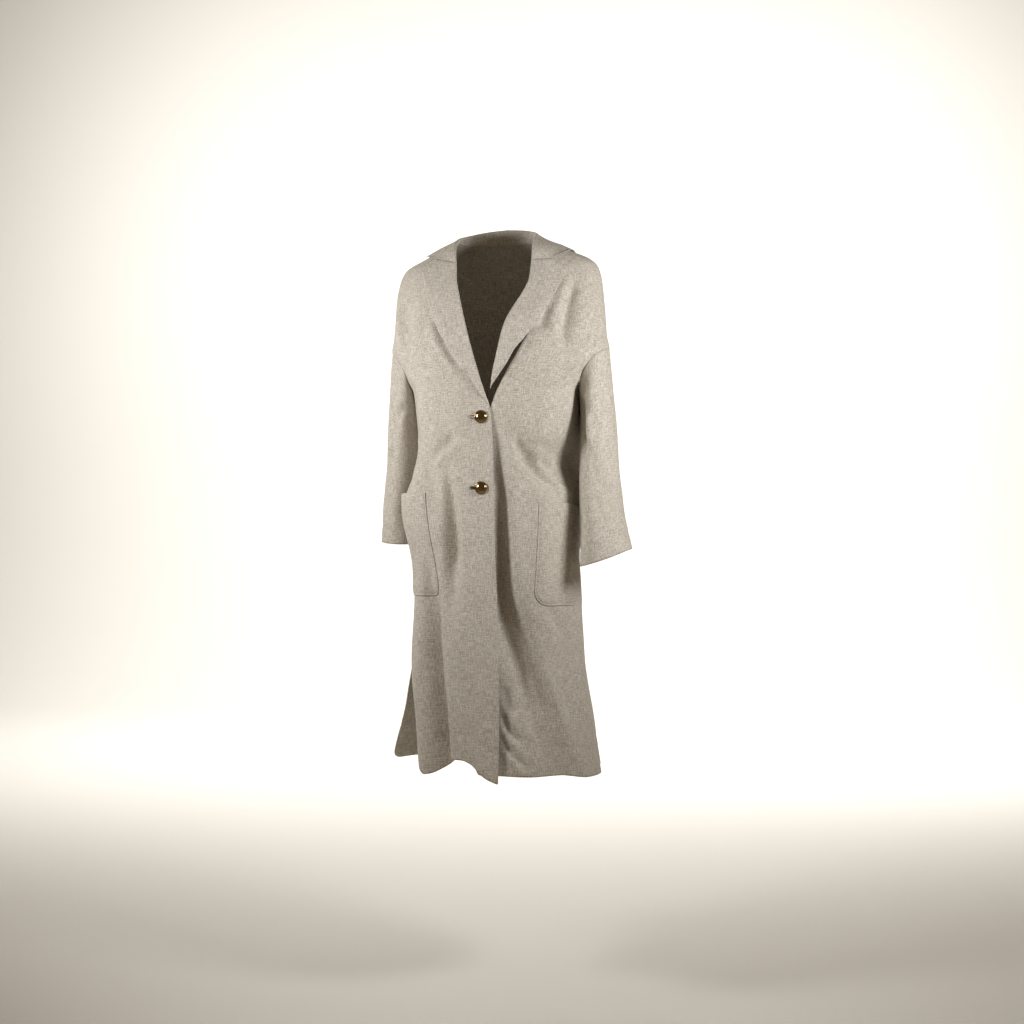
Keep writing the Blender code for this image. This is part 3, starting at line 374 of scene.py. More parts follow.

# %% [markdown]
# ## Finer creases
# Linen creases easily: short drags at the waist, crumples above the hem, pulls below the shoulder. Each is a
# soft trough along a bowed line with a low ridge on one side, because pushed cloth rises where it goes. They
# are placed from the photograph, and the hidden back gets similar ones. Weak waves of many lengths,
# drawn out along the hang of the cloth, keep the flat stretches from looking pressed.

# %% Creases listed one by one
Crease = namedtuple("Crease", "panel start_angle start_drop end_angle end_drop bow half_width depth")
CREASES = (
    Crease("right", -46, 0.438, -17, 0.384, 0.004, 0.010, -0.0075),
    Crease("right", -70, 0.37, -48, 0.42, 0.005, 0.009, -0.0030),
    Crease("right", -27, 0.455, -22, 0.67, -0.003, 0.010, -0.0080),
    Crease("right", -20, 0.70, -24, 0.95, 0.006, 0.013, -0.0030),
    Crease("right", -37, 0.66, -31, 1.08, 0.005, 0.010, -0.0095),
    Crease("right", -46, 0.60, -42, 0.88, -0.004, 0.010, -0.0050),
    Crease("right", -14, 0.80, -12, 1.06, -0.004, 0.011, -0.0022),
    Crease("right", -33, 0.12, -36, 0.27, 0.004, 0.014, -0.0018),
    Crease("right", -60, 0.10, -50, 0.225, 0.004, 0.011, -0.0042),
    Crease("right", -31, 0.145, -10.5, 0.280, 0.000, 0.007, -0.0050),
    Crease("right", -70, 0.46, -58, 0.51, 0.004, 0.010, -0.0030),
    Crease("left", 13, 0.37, 16, 0.72, 0.003, 0.008, -0.0040),
    Crease("left", 18, 0.68, 44, 0.97, -0.012, 0.012, -0.0095),
    Crease("left", 22, 0.385, 52, 0.485, 0.008, 0.011, -0.0048),
    Crease("left", 48, 0.422, 76, 0.487, 0.006, 0.008, -0.0060),
    Crease("left", 36, 0.40, 60, 0.43, -0.004, 0.010, -0.0030),
    Crease("left", 46, 0.71, 66, 0.78, 0.008, 0.011, -0.0045),
    Crease("left", 44, 0.78, 62, 0.93, 0.010, 0.013, -0.0035),
    Crease("left", 11, 0.915, 25, 0.985, 0.004, 0.007, -0.0060),
    Crease("left", 12, 0.965, 27, 1.030, 0.003, 0.006, -0.0050),
    Crease("left", 13, 0.865, 22, 0.925, 0.004, 0.008, -0.0030),
    Crease("left", 33, 0.93, 36, 1.06, -0.004, 0.010, -0.0028),
    Crease("left", 55, 0.075, 43, 0.225, 0.006, 0.010, -0.0085),
    Crease("left", 36, 0.130, 30, 0.195, 0.003, 0.008, -0.0040),
    Crease("left", 78, 0.140, 59, 0.242, -0.004, 0.006, -0.0085),
    Crease("left", 25, 0.27, 30, 0.36, 0.003, 0.014, -0.0020),
    Crease("back", 113, 0.275, 113, 0.385, 0.000, 0.016, 0.0055),
    Crease("back", 126, 0.44, 150, 0.47, 0.010, 0.012, -0.0040),
    Crease("back", 232, 0.43, 206, 0.47, -0.010, 0.012, -0.0040),
    Crease("back", 140, 0.16, 132, 0.30, 0.004, 0.010, -0.0035),
    Crease("back", 222, 0.15, 229, 0.30, -0.004, 0.010, -0.0035),
    Crease("back", 160, 0.56, 157, 0.92, 0.006, 0.012, -0.0035),
    Crease("back", 196, 0.60, 199, 1.08, -0.006, 0.012, -0.0035),
    Crease("back", 133, 0.78, 129, 1.10, 0.006, 0.011, -0.0035),
    Crease("back", 226, 0.72, 233, 1.10, -0.006, 0.012, -0.0035),
    Crease("back", 172, 0.86, 178, 1.10, 0.006, 0.010, -0.0025),
    Crease("back", 108, 0.60, 122, 0.74, 0.008, 0.011, -0.0040),
    Crease("back", 252, 0.62, 238, 0.76, -0.008, 0.011, -0.0040),
)
print("creases:", len(CREASES))

# %% Height of one crease
RIDGE_BESIDE = 0.45
RIDGE_OFFSET = 1.8
CREASE_TAPER = 0.28


def wrapped(angle):
    """An angle brought between -180 and 180 degrees, in radians."""
    return (angle + math.pi) % (2 * math.pi) - math.pi


def trough(angle, down, crease, radius):
    """Height of one crease on cloth flattened at a radius: a trough with a low ridge beside it.

    A positive depth turns it over, into a ridge with a low trough beside it."""
    middle = math.radians((crease.start_angle + crease.end_angle) / 2)
    across = (wrapped(angle - middle) + middle) * radius
    start = np.array([math.radians(crease.start_angle) * radius, crease.start_drop])
    run = np.array([math.radians(crease.end_angle) * radius, crease.end_drop]) - start
    length = np.hypot(*run)
    along, aside = run / length, np.array([-run[1], run[0]]) / length
    t = ((across - start[0]) * along[0] + (down - start[1]) * along[1]) / length
    bowed = crease.bow * 4 * np.clip(t, 0, 1) * (1 - np.clip(t, 0, 1))
    off = ((across - start[0]) * aside[0] + (down - start[1]) * aside[1] - bowed) / crease.half_width
    taper = smooth_step(t / CREASE_TAPER) * smooth_step((1 - t) / CREASE_TAPER)
    return crease.depth * taper * (np.exp(-off ** 2) - RIDGE_BESIDE * np.exp(-(off - RIDGE_OFFSET) ** 2))


print("deepest crease:", min(crease.depth for crease in CREASES), "m")

# %% Weak waves
WAVE_COUNT = 26
WAVE_LENGTHS = (0.022, 0.075)
WAVE_STRETCH = 3.0
WAVE_HEIGHT = 0.00018
WAVES = np.random.default_rng(11)
WAVE_TURNS = WAVES.uniform(0, math.pi, WAVE_COUNT)
WAVE_STARTS = WAVES.uniform(0, 2 * math.pi, WAVE_COUNT)
WAVE_NUMBERS = 2 * math.pi / np.geomspace(*WAVE_LENGTHS, WAVE_COUNT)


def waves(across, down):
    """Weak unevenness of limp cloth, from waves of many lengths and directions."""
    height = np.zeros_like(down)
    for number, turn, start in zip(WAVE_NUMBERS, WAVE_TURNS, WAVE_STARTS):
        phase = number * (across * math.cos(turn) + down / WAVE_STRETCH * math.sin(turn)) + start
        height = height + WAVE_NUMBERS[-1] / number * np.sin(phase)
    return WAVE_HEIGHT * height


print("weak waves:", WAVE_COUNT)

# %% Creases at seams, closure and edges
FLAT_RADIUS = 0.16
SEAM_FADE = 0.016
SEAM_DIP = 0.0004
SEAM_DIP_HALF = 0.0045
CLOSURE_CLEAR = {"left": 0.030, "right": 0.026}
CLOSURE_FADE = 0.016
BUTTON_DROPS = {"button_upper": 0.3565, "button_lower": 0.492}
EDGE_BULGE = 0.0012
EDGE_WIDTH = 0.011
EDGE_EASE = 0.02
EDGE_SPANS = {"left": (0.195, 0.330), "right": (0.345, 1.200)}
HOLLOW_DEPTH = 0.009
HOLLOW_X = -0.014
HOLLOW_HALF = (0.011, 0.008)
ARMHOLE_TOP = 0.217
ARMHOLE_FOOT = 0.300
ARMHOLE_MIDDLE = (ARMHOLE_TOP + ARMHOLE_FOOT) / 2
ARMHOLE_HALF = (ARMHOLE_FOOT - ARMHOLE_TOP) / 2
ARMHOLE_REACH = math.radians(27)


def seam_angle(drop):
    """Angle of the shoulder seam, easing to that of the side seam across the armhole."""
    share = np.clip((drop - ARMHOLE_TOP) / (ARMHOLE_FOOT - ARMHOLE_TOP), 0, 1)
    return SHOULDER_SEAM + (SIDE_SEAM - SHOULDER_SEAM) * share


def from_armhole(angle, drop):
    """How far round its loop's middle a point lies: below 1 inside the armhole, 1 on its seam."""
    across = (np.abs(wrapped(angle)) - seam_angle(drop)) / ARMHOLE_REACH
    return np.hypot(across, (drop - ARMHOLE_MIDDLE) / ARMHOLE_HALF)


def closure_fade(panel, angle, drop):
    """Nothing where the fronts overlap, so that their layers stay apart, rising to 1 beside it."""
    if panel == "back":
        return np.ones_like(drop)
    outwards = side_sign(panel) * body_form(angle, drop)[..., 0]
    return smooth_step((outwards - CLOSURE_CLEAR[panel]) / CLOSURE_FADE)


def edge_bulge(panel, angle, drop):
    """Soft bulge beside the free edge of a front, where the cloth is turned in."""
    if panel == "back":
        return np.zeros_like(drop)
    start, end = EDGE_SPANS[panel]
    inside = side_sign(panel) * (body_form(angle, drop)[..., 0] - read(FRONT_EDGES, panel, drop))
    shown = smooth_step((drop - start) / EDGE_EASE) * smooth_step((end - drop) / EDGE_EASE)
    return EDGE_BULGE * shown * np.sin(math.pi * np.clip(inside / EDGE_WIDTH, 0, 1))


def hollow(panel, angle, drop):
    """Hollows of the left front under the buttonholes, so that the slits look into shade."""
    height = np.zeros_like(drop)
    if panel == "left":
        across = (body_form(angle, drop)[..., 0] - HOLLOW_X) / HOLLOW_HALF[0]
        for button_drop in BUTTON_DROPS.values():
            down = (drop - button_drop) / HOLLOW_HALF[1]
            height = height - HOLLOW_DEPTH * np.exp(-across ** 2 - down ** 2)
    return height


def fine_height(panel, angle, drop):
    """Creases and waves of a panel, faded at its seams so that neighbours meet, with a dip at each seam."""
    creases = np.zeros_like(drop)
    for crease in CREASES:
        if crease.panel == panel:
            creases = creases + trough(angle, drop, crease, FLAT_RADIUS)
    uneven = creases * closure_fade(panel, angle, drop) + waves(angle * FLAT_RADIUS, drop)
    from_seam = np.abs(np.abs(wrapped(angle)) - seam_angle(drop)) * FLAT_RADIUS
    from_loop = np.abs(from_armhole(angle, drop) - 1) * ARMHOLE_HALF
    nearest = np.minimum(from_seam, from_loop)
    return uneven * smooth_step(from_seam / SEAM_FADE) - SEAM_DIP * np.exp(-(nearest / SEAM_DIP_HALF) ** 2)


print("armhole loop:", round(2 * ARMHOLE_HALF, 3), "m high")

# %% [markdown]
# ## Reading the cloth
# A point of a panel is the form, pushed out or in along its normal by folds, creases and waves. Whatever is
# sewn on a panel, such as a pocket or a lapel, takes the panel's own points and moves them out a little. A
# Shrinkwrap modifier could lay a piece on a panel too, but reading one formula keeps the layers apart.

# %% Cloth surface
def cloth(panel, angle, drop):
    """Point of the outer face of a body panel."""
    height = fold_height(panel, angle, drop) + overlap_lift(panel, angle, drop)
    height = height + fine_height(panel, angle, drop) + edge_bulge(panel, angle, drop)
    height = height + hollow(panel, angle, drop)
    return body_form(angle, drop) + normal_of(body_form, angle, drop) * height[..., None]


def laid_on(panel, angle, drop, lift):
    """Points of a panel's outer face moved out by a lift."""
    normal = normal_of(partial(cloth, panel), angle, drop)
    return cloth(panel, angle, drop) + normal * np.broadcast_to(lift, drop.shape)[..., None]


def spread(count, closeness=0.45):
    """Shares from 0 to 1, closer together near both ends."""
    share = np.linspace(0, 1, count)
    return share - closeness * np.sin(2 * math.pi * share) / (2 * math.pi)


ROW_STEP = 0.0045
RUN_SAMPLES = 2000


def row_drops(top, foot):
    """Drops whose rows lie about one step apart along the side of the form."""
    fine = np.linspace(top, foot, RUN_SAMPLES)
    run = np.hypot(np.diff(fine), np.diff(read(BODY, "left", fine)))
    travelled = np.concatenate([[0], np.cumsum(run)])
    count = int(travelled[-1] / ROW_STEP) + 1
    return np.interp(np.linspace(0, travelled[-1], count), travelled, fine)


print("rows lie", ROW_STEP, "m apart")

# %% [markdown]
# ## Linen
# Linen yarn is uneven: thick slubs run along both threads, the dye takes in flecks, and the cloth is matt
# with a faint bloom. One node group makes that from the flattened places of the cloth in metres, so threads
# follow each panel as they were woven. An image could do it too, but nodes stay sharp at any distance. The
# body and the facings share the group, each with its own values.

# %% Node group for the weave
SLUB_LENGTH = 0.015
SLUB_WIDTH = 0.0016
FLECK_SIZE = 0.0020
SPECK_SIZE = 0.0042
SPECK_FROM = 0.63
SPECK_FULL = 0.72
SPECK_DEPTH = 0.75
MOTTLE_SIZE = 0.035
FLECK_SHARE = 2.40
MOTTLE_SHARE = 0.35
FLECK_DETAIL = 4.0
MOTTLE_DETAIL = 3.0
SPECK_DETAIL = 1.0
NOISE_MIDDLE = 0.5
WEAVE_HEIGHT = 0.10
ROUGHEST = 0.97
ROUGHNESS_RANGE = 0.12


class Nodes:
    """Short way to place nodes in a tree and join them."""

    def __init__(self, tree):
        self.tree = tree

    def add(self, kind, **inputs):
        node = self.tree.nodes.new(kind)
        for name, value in inputs.items():
            self.give(node.inputs[name.replace("_", " ")], value)
        return node

    def give(self, socket, value):
        if isinstance(value, bpy.types.NodeSocket):
            self.tree.links.new(value, socket)
        else:
            socket.default_value = value

    def math(self, operation, *values):
        node = self.tree.nodes.new("ShaderNodeMath")
        node.operation = operation
        for socket, value in zip(node.inputs, values):
            self.give(socket, value)
        return node.outputs[0]

    def noise(self, place, size_across, size_down, detail=2.0):
        """Noise stretched to a size each way, from about 0 to 1."""
        scaled = self.tree.nodes.new("ShaderNodeVectorMath")
        scaled.operation = "MULTIPLY"
        self.give(scaled.inputs[0], place)
        scaled.inputs[1].default_value = (1 / size_across, 1 / size_down, 1.0)
        texture = self.add("ShaderNodeTexNoise", Vector=scaled.outputs[0], Scale=1.0, Detail=detail)
        return texture.outputs["Fac"]

    def uneven(self, place, *sizes):
        """Noise that goes up and down from 0."""
        return self.math("SUBTRACT", self.noise(place, *sizes), NOISE_MIDDLE)

    def blend(self, share, first, second):
        node = self.tree.nodes.new("ShaderNodeMix")
        node.data_type = "RGBA"
        self.give(node.inputs["Factor"], share)
        self.give(node.inputs[6], first)
        self.give(node.inputs[7], second)
        return node.outputs[2]


def group_sockets(group, direction, **kinds):
    for name, kind in kinds.items():
        group.interface.new_socket(name, in_out=direction, socket_type="NodeSocket" + kind)


def linen_weave():
    """Colour, roughness and height of slubbed linen from flattened places in metres."""
    group = bpy.data.node_groups.new("linen_weave", "ShaderNodeTree")
    group_sockets(group, "INPUT", Place="Vector", Pale="Color", Deep="Color", Thread="Float", Slubs="Float")
    group_sockets(group, "OUTPUT", Colour="Color", Roughness="Float", Height="Float")
    nodes = Nodes(group)
    given = group.nodes.new("NodeGroupInput").outputs
    result = group.nodes.new("NodeGroupOutput")
    apart = nodes.add("ShaderNodeSeparateXYZ", Vector=given["Place"]).outputs
    turns = nodes.math("DIVIDE", 2 * math.pi, given["Thread"])
    warp = nodes.math("SINE", nodes.math("MULTIPLY", apart["X"], turns))
    weft = nodes.math("SINE", nodes.math("MULTIPLY", apart["Y"], turns))
    weave = nodes.math("MULTIPLY", warp, weft)
    upright = nodes.uneven(given["Place"], SLUB_WIDTH, SLUB_LENGTH)
    level = nodes.uneven(given["Place"], SLUB_LENGTH, SLUB_WIDTH)
    slubs = nodes.math("MULTIPLY", nodes.math("ADD", upright, level), given["Slubs"])
    fleck = nodes.uneven(given["Place"], FLECK_SIZE, FLECK_SIZE, FLECK_DETAIL)
    mottle = nodes.uneven(given["Place"], MOTTLE_SIZE, MOTTLE_SIZE, MOTTLE_DETAIL)
    speck = nodes.noise(given["Place"], SPECK_SIZE, SPECK_SIZE, SPECK_DETAIL)
    speck = nodes.add("ShaderNodeMapRange", Value=speck, From_Min=SPECK_FROM, From_Max=SPECK_FULL)
    shade = nodes.math("MULTIPLY", fleck, FLECK_SHARE)
    shade = nodes.math("ADD", shade, nodes.math("MULTIPLY", mottle, MOTTLE_SHARE))
    shade = nodes.math("ADD", nodes.math("ADD", shade, NOISE_MIDDLE), slubs)
    shade = nodes.math("SUBTRACT", shade, nodes.math("MULTIPLY", speck.outputs["Result"], SPECK_DEPTH))
    shade.node.use_clamp = True
    roughness = nodes.math("SUBTRACT", ROUGHEST, nodes.math("MULTIPLY", shade, ROUGHNESS_RANGE))
    height = nodes.math("ADD", nodes.math("MULTIPLY", weave, WEAVE_HEIGHT), slubs)
    nodes.give(result.inputs["Colour"], nodes.blend(shade, given["Deep"], given["Pale"]))
    nodes.give(result.inputs["Roughness"], roughness)
    nodes.give(result.inputs["Height"], height)
    return group


WEAVE = linen_weave()
print("weave group:", len(WEAVE.nodes), "nodes")

# %% Linen finishes
Linen = namedtuple("Linen", "slot pale deep thread slubs relief")
LINENS = (
    Linen("body_linen", (0.685, 0.640, 0.574), (0.385, 0.344, 0.286), 0.0009, 1.90, 0.00022),
    Linen("facing_linen", (0.700, 0.655, 0.589), (0.400, 0.359, 0.301), 0.0009, 1.80, 0.00022),
)
SHEEN = 0.12
SHEEN_ROUGHNESS = 0.5
LINEN_SPECULAR = 0.25


def linen_material(linen):
    material, shader = new_material(linen.slot)
    nodes = Nodes(material.node_tree)
    weave = material.node_tree.nodes.new("ShaderNodeGroup")
    weave.node_tree = WEAVE
    places = nodes.add("ShaderNodeUVMap")
    places.uv_map = "cloth"
    nodes.give(weave.inputs["Place"], places.outputs["UV"])
    weave.inputs["Pale"].default_value = (*linen.pale, 1.0)
    weave.inputs["Deep"].default_value = (*linen.deep, 1.0)
    weave.inputs["Thread"].default_value = linen.thread
    weave.inputs["Slubs"].default_value = linen.slubs
    bump = nodes.add("ShaderNodeBump", Strength=1.0, Distance=linen.relief, Height=weave.outputs["Height"])
    nodes.give(shader.inputs["Base Color"], weave.outputs["Colour"])
    nodes.give(shader.inputs["Roughness"], weave.outputs["Roughness"])
    nodes.give(shader.inputs["Normal"], bump.outputs["Normal"])
    shader.inputs["Sheen Weight"].default_value = SHEEN
    shader.inputs["Sheen Roughness"].default_value = SHEEN_ROUGHNESS
    shader.inputs["Specular IOR Level"].default_value = LINEN_SPECULAR
    return material


FINISHES = {linen.slot: linen_material(linen) for linen in LINENS}
print("linens:", ", ".join(FINISHES))

# %% [markdown]
# ## From a grid of points to a piece of cloth
# Each piece is a grid of points, so its flattened places can be measured along the rows and down the columns,
# as a tailor lays a tape on it. They give the size the cloth was cut to. The UV map holds those lengths, or
# on most pieces a plainer grain worked out from their places. Unwrapping would also give a map, but not in
# metres. A Solidify modifier then gives the sheet its thickness on the inside, so its outer face is exact.

# %% Making a sheet
Sheet = namedtuple("Sheet", "piece slot flat area")
SHEETS = {}


def flat_places(points, reference, tube=False):
    """Lengths along each row from a reference column, and down each column, in metres."""
    if tube:
        points = np.concatenate([points, points[:, :1]], axis=1)
    along = np.linalg.norm(np.diff(points, axis=1), axis=-1)
    down = np.linalg.norm(np.diff(points, axis=0), axis=-1)
    across = np.pad(np.cumsum(along, axis=1), ((0, 0), (1, 0)))
    across = across - across[:, reference:reference + 1]
    return np.stack([across, np.pad(np.cumsum(down, axis=0), ((1, 0), (0, 0)))], axis=-1)


def corners_of(grid):
    """The four corners of every cell of a grid, so that they run round it."""
    return np.stack([grid[:-1, :-1], grid[1:, :-1], grid[1:, 1:], grid[:-1, 1:]], axis=2)


def grid_cells(rows, columns, tube):
    """Numbers of the points at the corners of every cell of a grid, which a tube closes round."""
    numbers = np.arange(rows * columns).reshape(rows, columns)
    if tube:
        numbers = np.concatenate([numbers, numbers[:, :1]], axis=1)
    return corners_of(numbers)


def thin_wall(piece, wall, shares):
    """Let a wall keep only a share of its thickness at each point."""
    group = piece.vertex_groups.new(name="thinned")
    for point, share in enumerate(shares):
        group.add([point], float(share), "REPLACE")
    wall.vertex_group = group.name


def add_sheet(name, slot, points, flat, thickness, flip=False, tube=False, kept=None, thinned=None,
              grain=None):
    """Sheet of cloth from a grid of points on its outer face, its UV map its grain or flattened places."""
    cells = grid_cells(*points.shape[:2], tube)
    places = corners_of(flat if grain is None else grain)
    kept = np.ones(cells.shape[:2], bool) if kept is None else kept
    cells, places = cells[kept], places[kept]
    if flip:
        cells, places = cells[:, ::-1], places[:, ::-1]
    used, faces = np.unique(cells, return_inverse=True)
    mesh = bpy.data.meshes.new(name)
    mesh.from_pydata(points.reshape(-1, 3)[used].tolist(), [], faces.reshape(-1, 4).tolist())
    mesh.uv_layers.new(name="cloth").data.foreach_set("uv", places.astype(np.float32).ravel())
    mesh.materials.append(FINISHES[slot])
    mesh.shade_smooth()
    piece = in_scene(name, mesh)
    wall = piece.modifiers.new("thickness", "SOLIDIFY")
    wall.thickness = thickness
    wall.offset = -1.0
    if thinned is not None:
        thin_wall(piece, wall, thinned.ravel()[used])
    area = sum(polygon.area for polygon in mesh.polygons)
    lengths = corners_of(flat)[kept].reshape(-1, 2)
    size = lengths.max(axis=0) - lengths.min(axis=0)
    SHEETS[name] = Sheet(piece, slot, tuple(float(side) for side in size), area)
    print(name, len(faces.reshape(-1, 4)), "cells, flat", np.round(size, 3), "m,", round(area, 3), "m2")
    return piece


# %% [markdown]
# ## Fronts and back
# The fronts run from the neckline, the roll line and the front edge out to the shoulder and side seams; the
# back is one piece between the side seams. The hems are uneven, as cloth hangs, and the sides open in vents.
# The armhole is cut from a regular grid: the cells inside its loop are left out, and the points just inside
# are moved onto the loop. Bending the grid round the loop instead would shear its cells and show as a crease.

# %% Sizes and edges of the panels
HEM_DROP = 1.045
HEM_SHAPING_FROM = 0.80
HEM_CORNERS = {"left": (0.008, 0.012), "right": (0.003, 0.022), "back": (0.012, 0.018)}
HEM_LENGTHS = {"left": 0.27, "right": 0.27, "back": 0.52}
HEM_DEPTH = 0.056
HEM_DIMPLE = 0.0007
HEM_DIMPLE_HALF = 0.005
VENT_DROP = 0.80
VENT_SPREAD = math.radians(1.5)
NECK_TOP = -0.002
NECK_EASE = 0.015
NECK_RISE = ((90, 0.0020), (118, 0.0045), (148, 0.0065), (180, 0.0080))
FRONT_COLUMNS = 91
EDGE_CLOSENESS = 0.60
BACK_COLUMNS = 131

FrontEdge = namedtuple("FrontEdge", "drop left right")
FRONT_EDGES = (
    FrontEdge(-0.002, 0.0785, -0.0785),
    FrontEdge(0.006, 0.0815, -0.0800),
    FrontEdge(0.020, 0.0830, -0.0790),
    FrontEdge(0.035, 0.0832, -0.0760),
    FrontEdge(0.0500, 0.0830, -0.0720),
    FrontEdge(0.0850, 0.0826, -0.0675),
    FrontEdge(0.1000, 0.0800, -0.0634),
    FrontEdge(0.1140, 0.0755, -0.0590),
    FrontEdge(0.1350, 0.0765, -0.0527),
    FrontEdge(0.1600, 0.0812, -0.0450),
    FrontEdge(0.1800, 0.0840, -0.0388),
    FrontEdge(0.1964, 0.0845, -0.0337),
    FrontEdge(0.2135, 0.0752, -0.0284),
    FrontEdge(0.2376, 0.0633, -0.0209),
    FrontEdge(0.2630, 0.0490, -0.0130),
    FrontEdge(0.2864, 0.0377, -0.0057),
    FrontEdge(0.3099, 0.0265, 0.0033),
    FrontEdge(0.3380, 0.0155, 0.0150),
    FrontEdge(0.365, -0.0050, 0.0180),
    FrontEdge(0.395, -0.0200, 0.0195),
    FrontEdge(0.490, -0.0230, 0.0215),
    FrontEdge(0.610, -0.0210, 0.0250),
    FrontEdge(0.710, -0.0190, 0.0295),
    FrontEdge(0.900, -0.0150, 0.0345),
    FrontEdge(1.080, -0.0120, 0.0335),
)
HemRow = namedtuple("HemRow", "share drop")
HEMS = {
    "left": (HemRow(0.0, 1.040), HemRow(0.35, 1.0405), HemRow(0.5, 1.041), HemRow(0.7, 1.050),
             HemRow(1.0, 1.052)),
    "right": (HemRow(0.0, 1.055), HemRow(0.06, 1.046), HemRow(0.11, 1.032), HemRow(0.16, 1.018),
              HemRow(0.22, 1.0115), HemRow(0.31, 1.011), HemRow(0.37, 1.016), HemRow(0.43, 1.034),
              HemRow(0.48, 1.045), HemRow(0.53, 1.048), HemRow(0.58, 1.041), HemRow(0.63, 1.028),
              HemRow(0.70, 1.014), HemRow(1.0, 1.006)),
    "back": (HemRow(0.0, 1.040), HemRow(0.3, 1.047), HemRow(0.7, 1.044), HemRow(1.0, 1.040)),
}

print("front edge rows:", len(FRONT_EDGES))


# %% Places on the panels
def side_edge(drop, towards_back):
    """Angle of a panel's side edge along the shoulder seam, the side seam and the vent."""
    vent = VENT_SPREAD * smooth_step((drop - VENT_DROP) / (HEM_DROP - VENT_DROP))
    return seam_angle(drop) + (1 if towards_back else -1) * vent


def hem_shaped(panel, nominal, share):
    """Nominal drops eased towards the panel's hem line, with rounded vent and front corners."""
    hem = smooth_through(column(HEMS[panel], "share"), column(HEMS[panel], "drop"), share)
    for corner, from_end in zip(HEM_CORNERS[panel], (share, 1 - share)):
        inside = np.clip(corner - from_end * HEM_LENGTHS[panel], 0, corner)
        hem = hem - (corner - np.sqrt(corner ** 2 - inside ** 2))
    stretch = (hem - HEM_SHAPING_FROM) / (HEM_DROP - HEM_SHAPING_FROM)
    below = np.maximum(nominal - HEM_SHAPING_FROM, 0)
    return np.minimum(nominal, HEM_SHAPING_FROM) + below * stretch


def neck_drop(angle):
    """Drop of the back neckline at an angle."""
    stations, heights = zip(*NECK_RISE)
    return -smooth_through(stations, heights, np.degrees(np.abs(wrapped(angle))))


def front_angle(side, share, drop):
    start = angle_at(read(FRONT_EDGES, side, drop), drop)
    return start + (side_sign(side) * side_edge(drop, False) - start) * share


def panel_places(panel, share, nominal):
    """Angle and drop of a panel's points from their share across and their nominal drop."""
    drop = hem_shaped(panel, nominal, share)
    if panel != "back":
        return front_angle(panel, share, drop), drop
    start = side_edge(drop, True)
    angle = start + (2 * math.pi - 2 * start) * share
    raised = np.clip((NECK_EASE - nominal) / (NECK_EASE - NECK_TOP), 0, 1)
    return angle, drop + raised * (neck_drop(angle) - NECK_TOP)


def hem_dimple(nominal):
    """Slight dip along the line where the hem is caught down."""
    return -HEM_DIMPLE * np.exp(-((nominal - HEM_DROP + HEM_DEPTH) / HEM_DIMPLE_HALF) ** 2)


print("widest vent:", round(math.degrees(2 * VENT_SPREAD), 1), "degrees")

# %% Body panels
SIDES = ("left", "right")
PANEL_OFFSETS = {"left": 0.0, "right": 3.1, "back": 6.3}
LEAST_REACH = 0.05


def cut_armhole(angle, drop):
    """Points just inside an armhole moved onto its loop, and which cells of the grid stay."""
    reach = from_armhole(angle, drop)
    outside = reach >= 1
    kept = np.any(corners_of(outside), axis=2)
    scale = 1 / np.where(outside, 1, np.maximum(reach, LEAST_REACH))
    signed = wrapped(angle)
    across = np.abs(signed) - seam_angle(drop)
    new_drop = np.where(outside, drop, ARMHOLE_MIDDLE + (drop - ARMHOLE_MIDDLE) * scale)
    turned = np.where(outside, np.abs(signed), seam_angle(new_drop) + across * scale)
    return angle + np.sign(signed) * (turned - np.abs(signed)), new_drop, kept


def add_panel(name, panel, columns):
    share, nominal = np.meshgrid(spread(columns, EDGE_CLOSENESS), row_drops(NECK_TOP, HEM_DROP))
    angle, drop = panel_places(panel, share, nominal)
    flat = flat_places(cloth(panel, angle, drop), columns // 2)
    angle, drop, kept = cut_armhole(angle, drop)
    points = laid_on(panel, angle, drop, hem_dimple(nominal))
    grain = np.stack([angle * FLAT_RADIUS, drop], axis=-1) + PANEL_OFFSETS[panel]
    return add_sheet(name, "body_linen", points, flat, CLOTH, flip=panel == "right", kept=kept, grain=grain)


for side in SIDES:
    add_panel("front_" + side + "_cloth", side, FRONT_COLUMNS)
add_panel("back_cloth", "back", BACK_COLUMNS)

# %% [markdown]
# ## Sleeves
# The shoulders are dropped, so each sleeve is set into a loop well down the arm and hangs from it as a soft
# tube. Its rings start on that loop and ease into ovals round the sleeve's axis. A bevelled curve would make
# a tube too, but its first ring couldn't follow the seam. The fine unevenness of the body is let go within a
# finger's width of the seam, so that it doesn't run down the sleeve as flutes.

# %% Sizes and folds of the sleeves
LEVEL = np.array([1.0, 1.0, 0.0])
SLEEVE_COLUMNS = 84
SLEEVE_STEP = 0.0042
ARMHOLE_BLEND = 0.16
FINE_BLEND = 0.018
SLEEVE_RADIUS = 0.052
UNDERARM_GAP = 0.0012
CUFF_HEM = 0.032
SLEEVE_OFFSETS = {"left": 9.7, "right": 12.9}

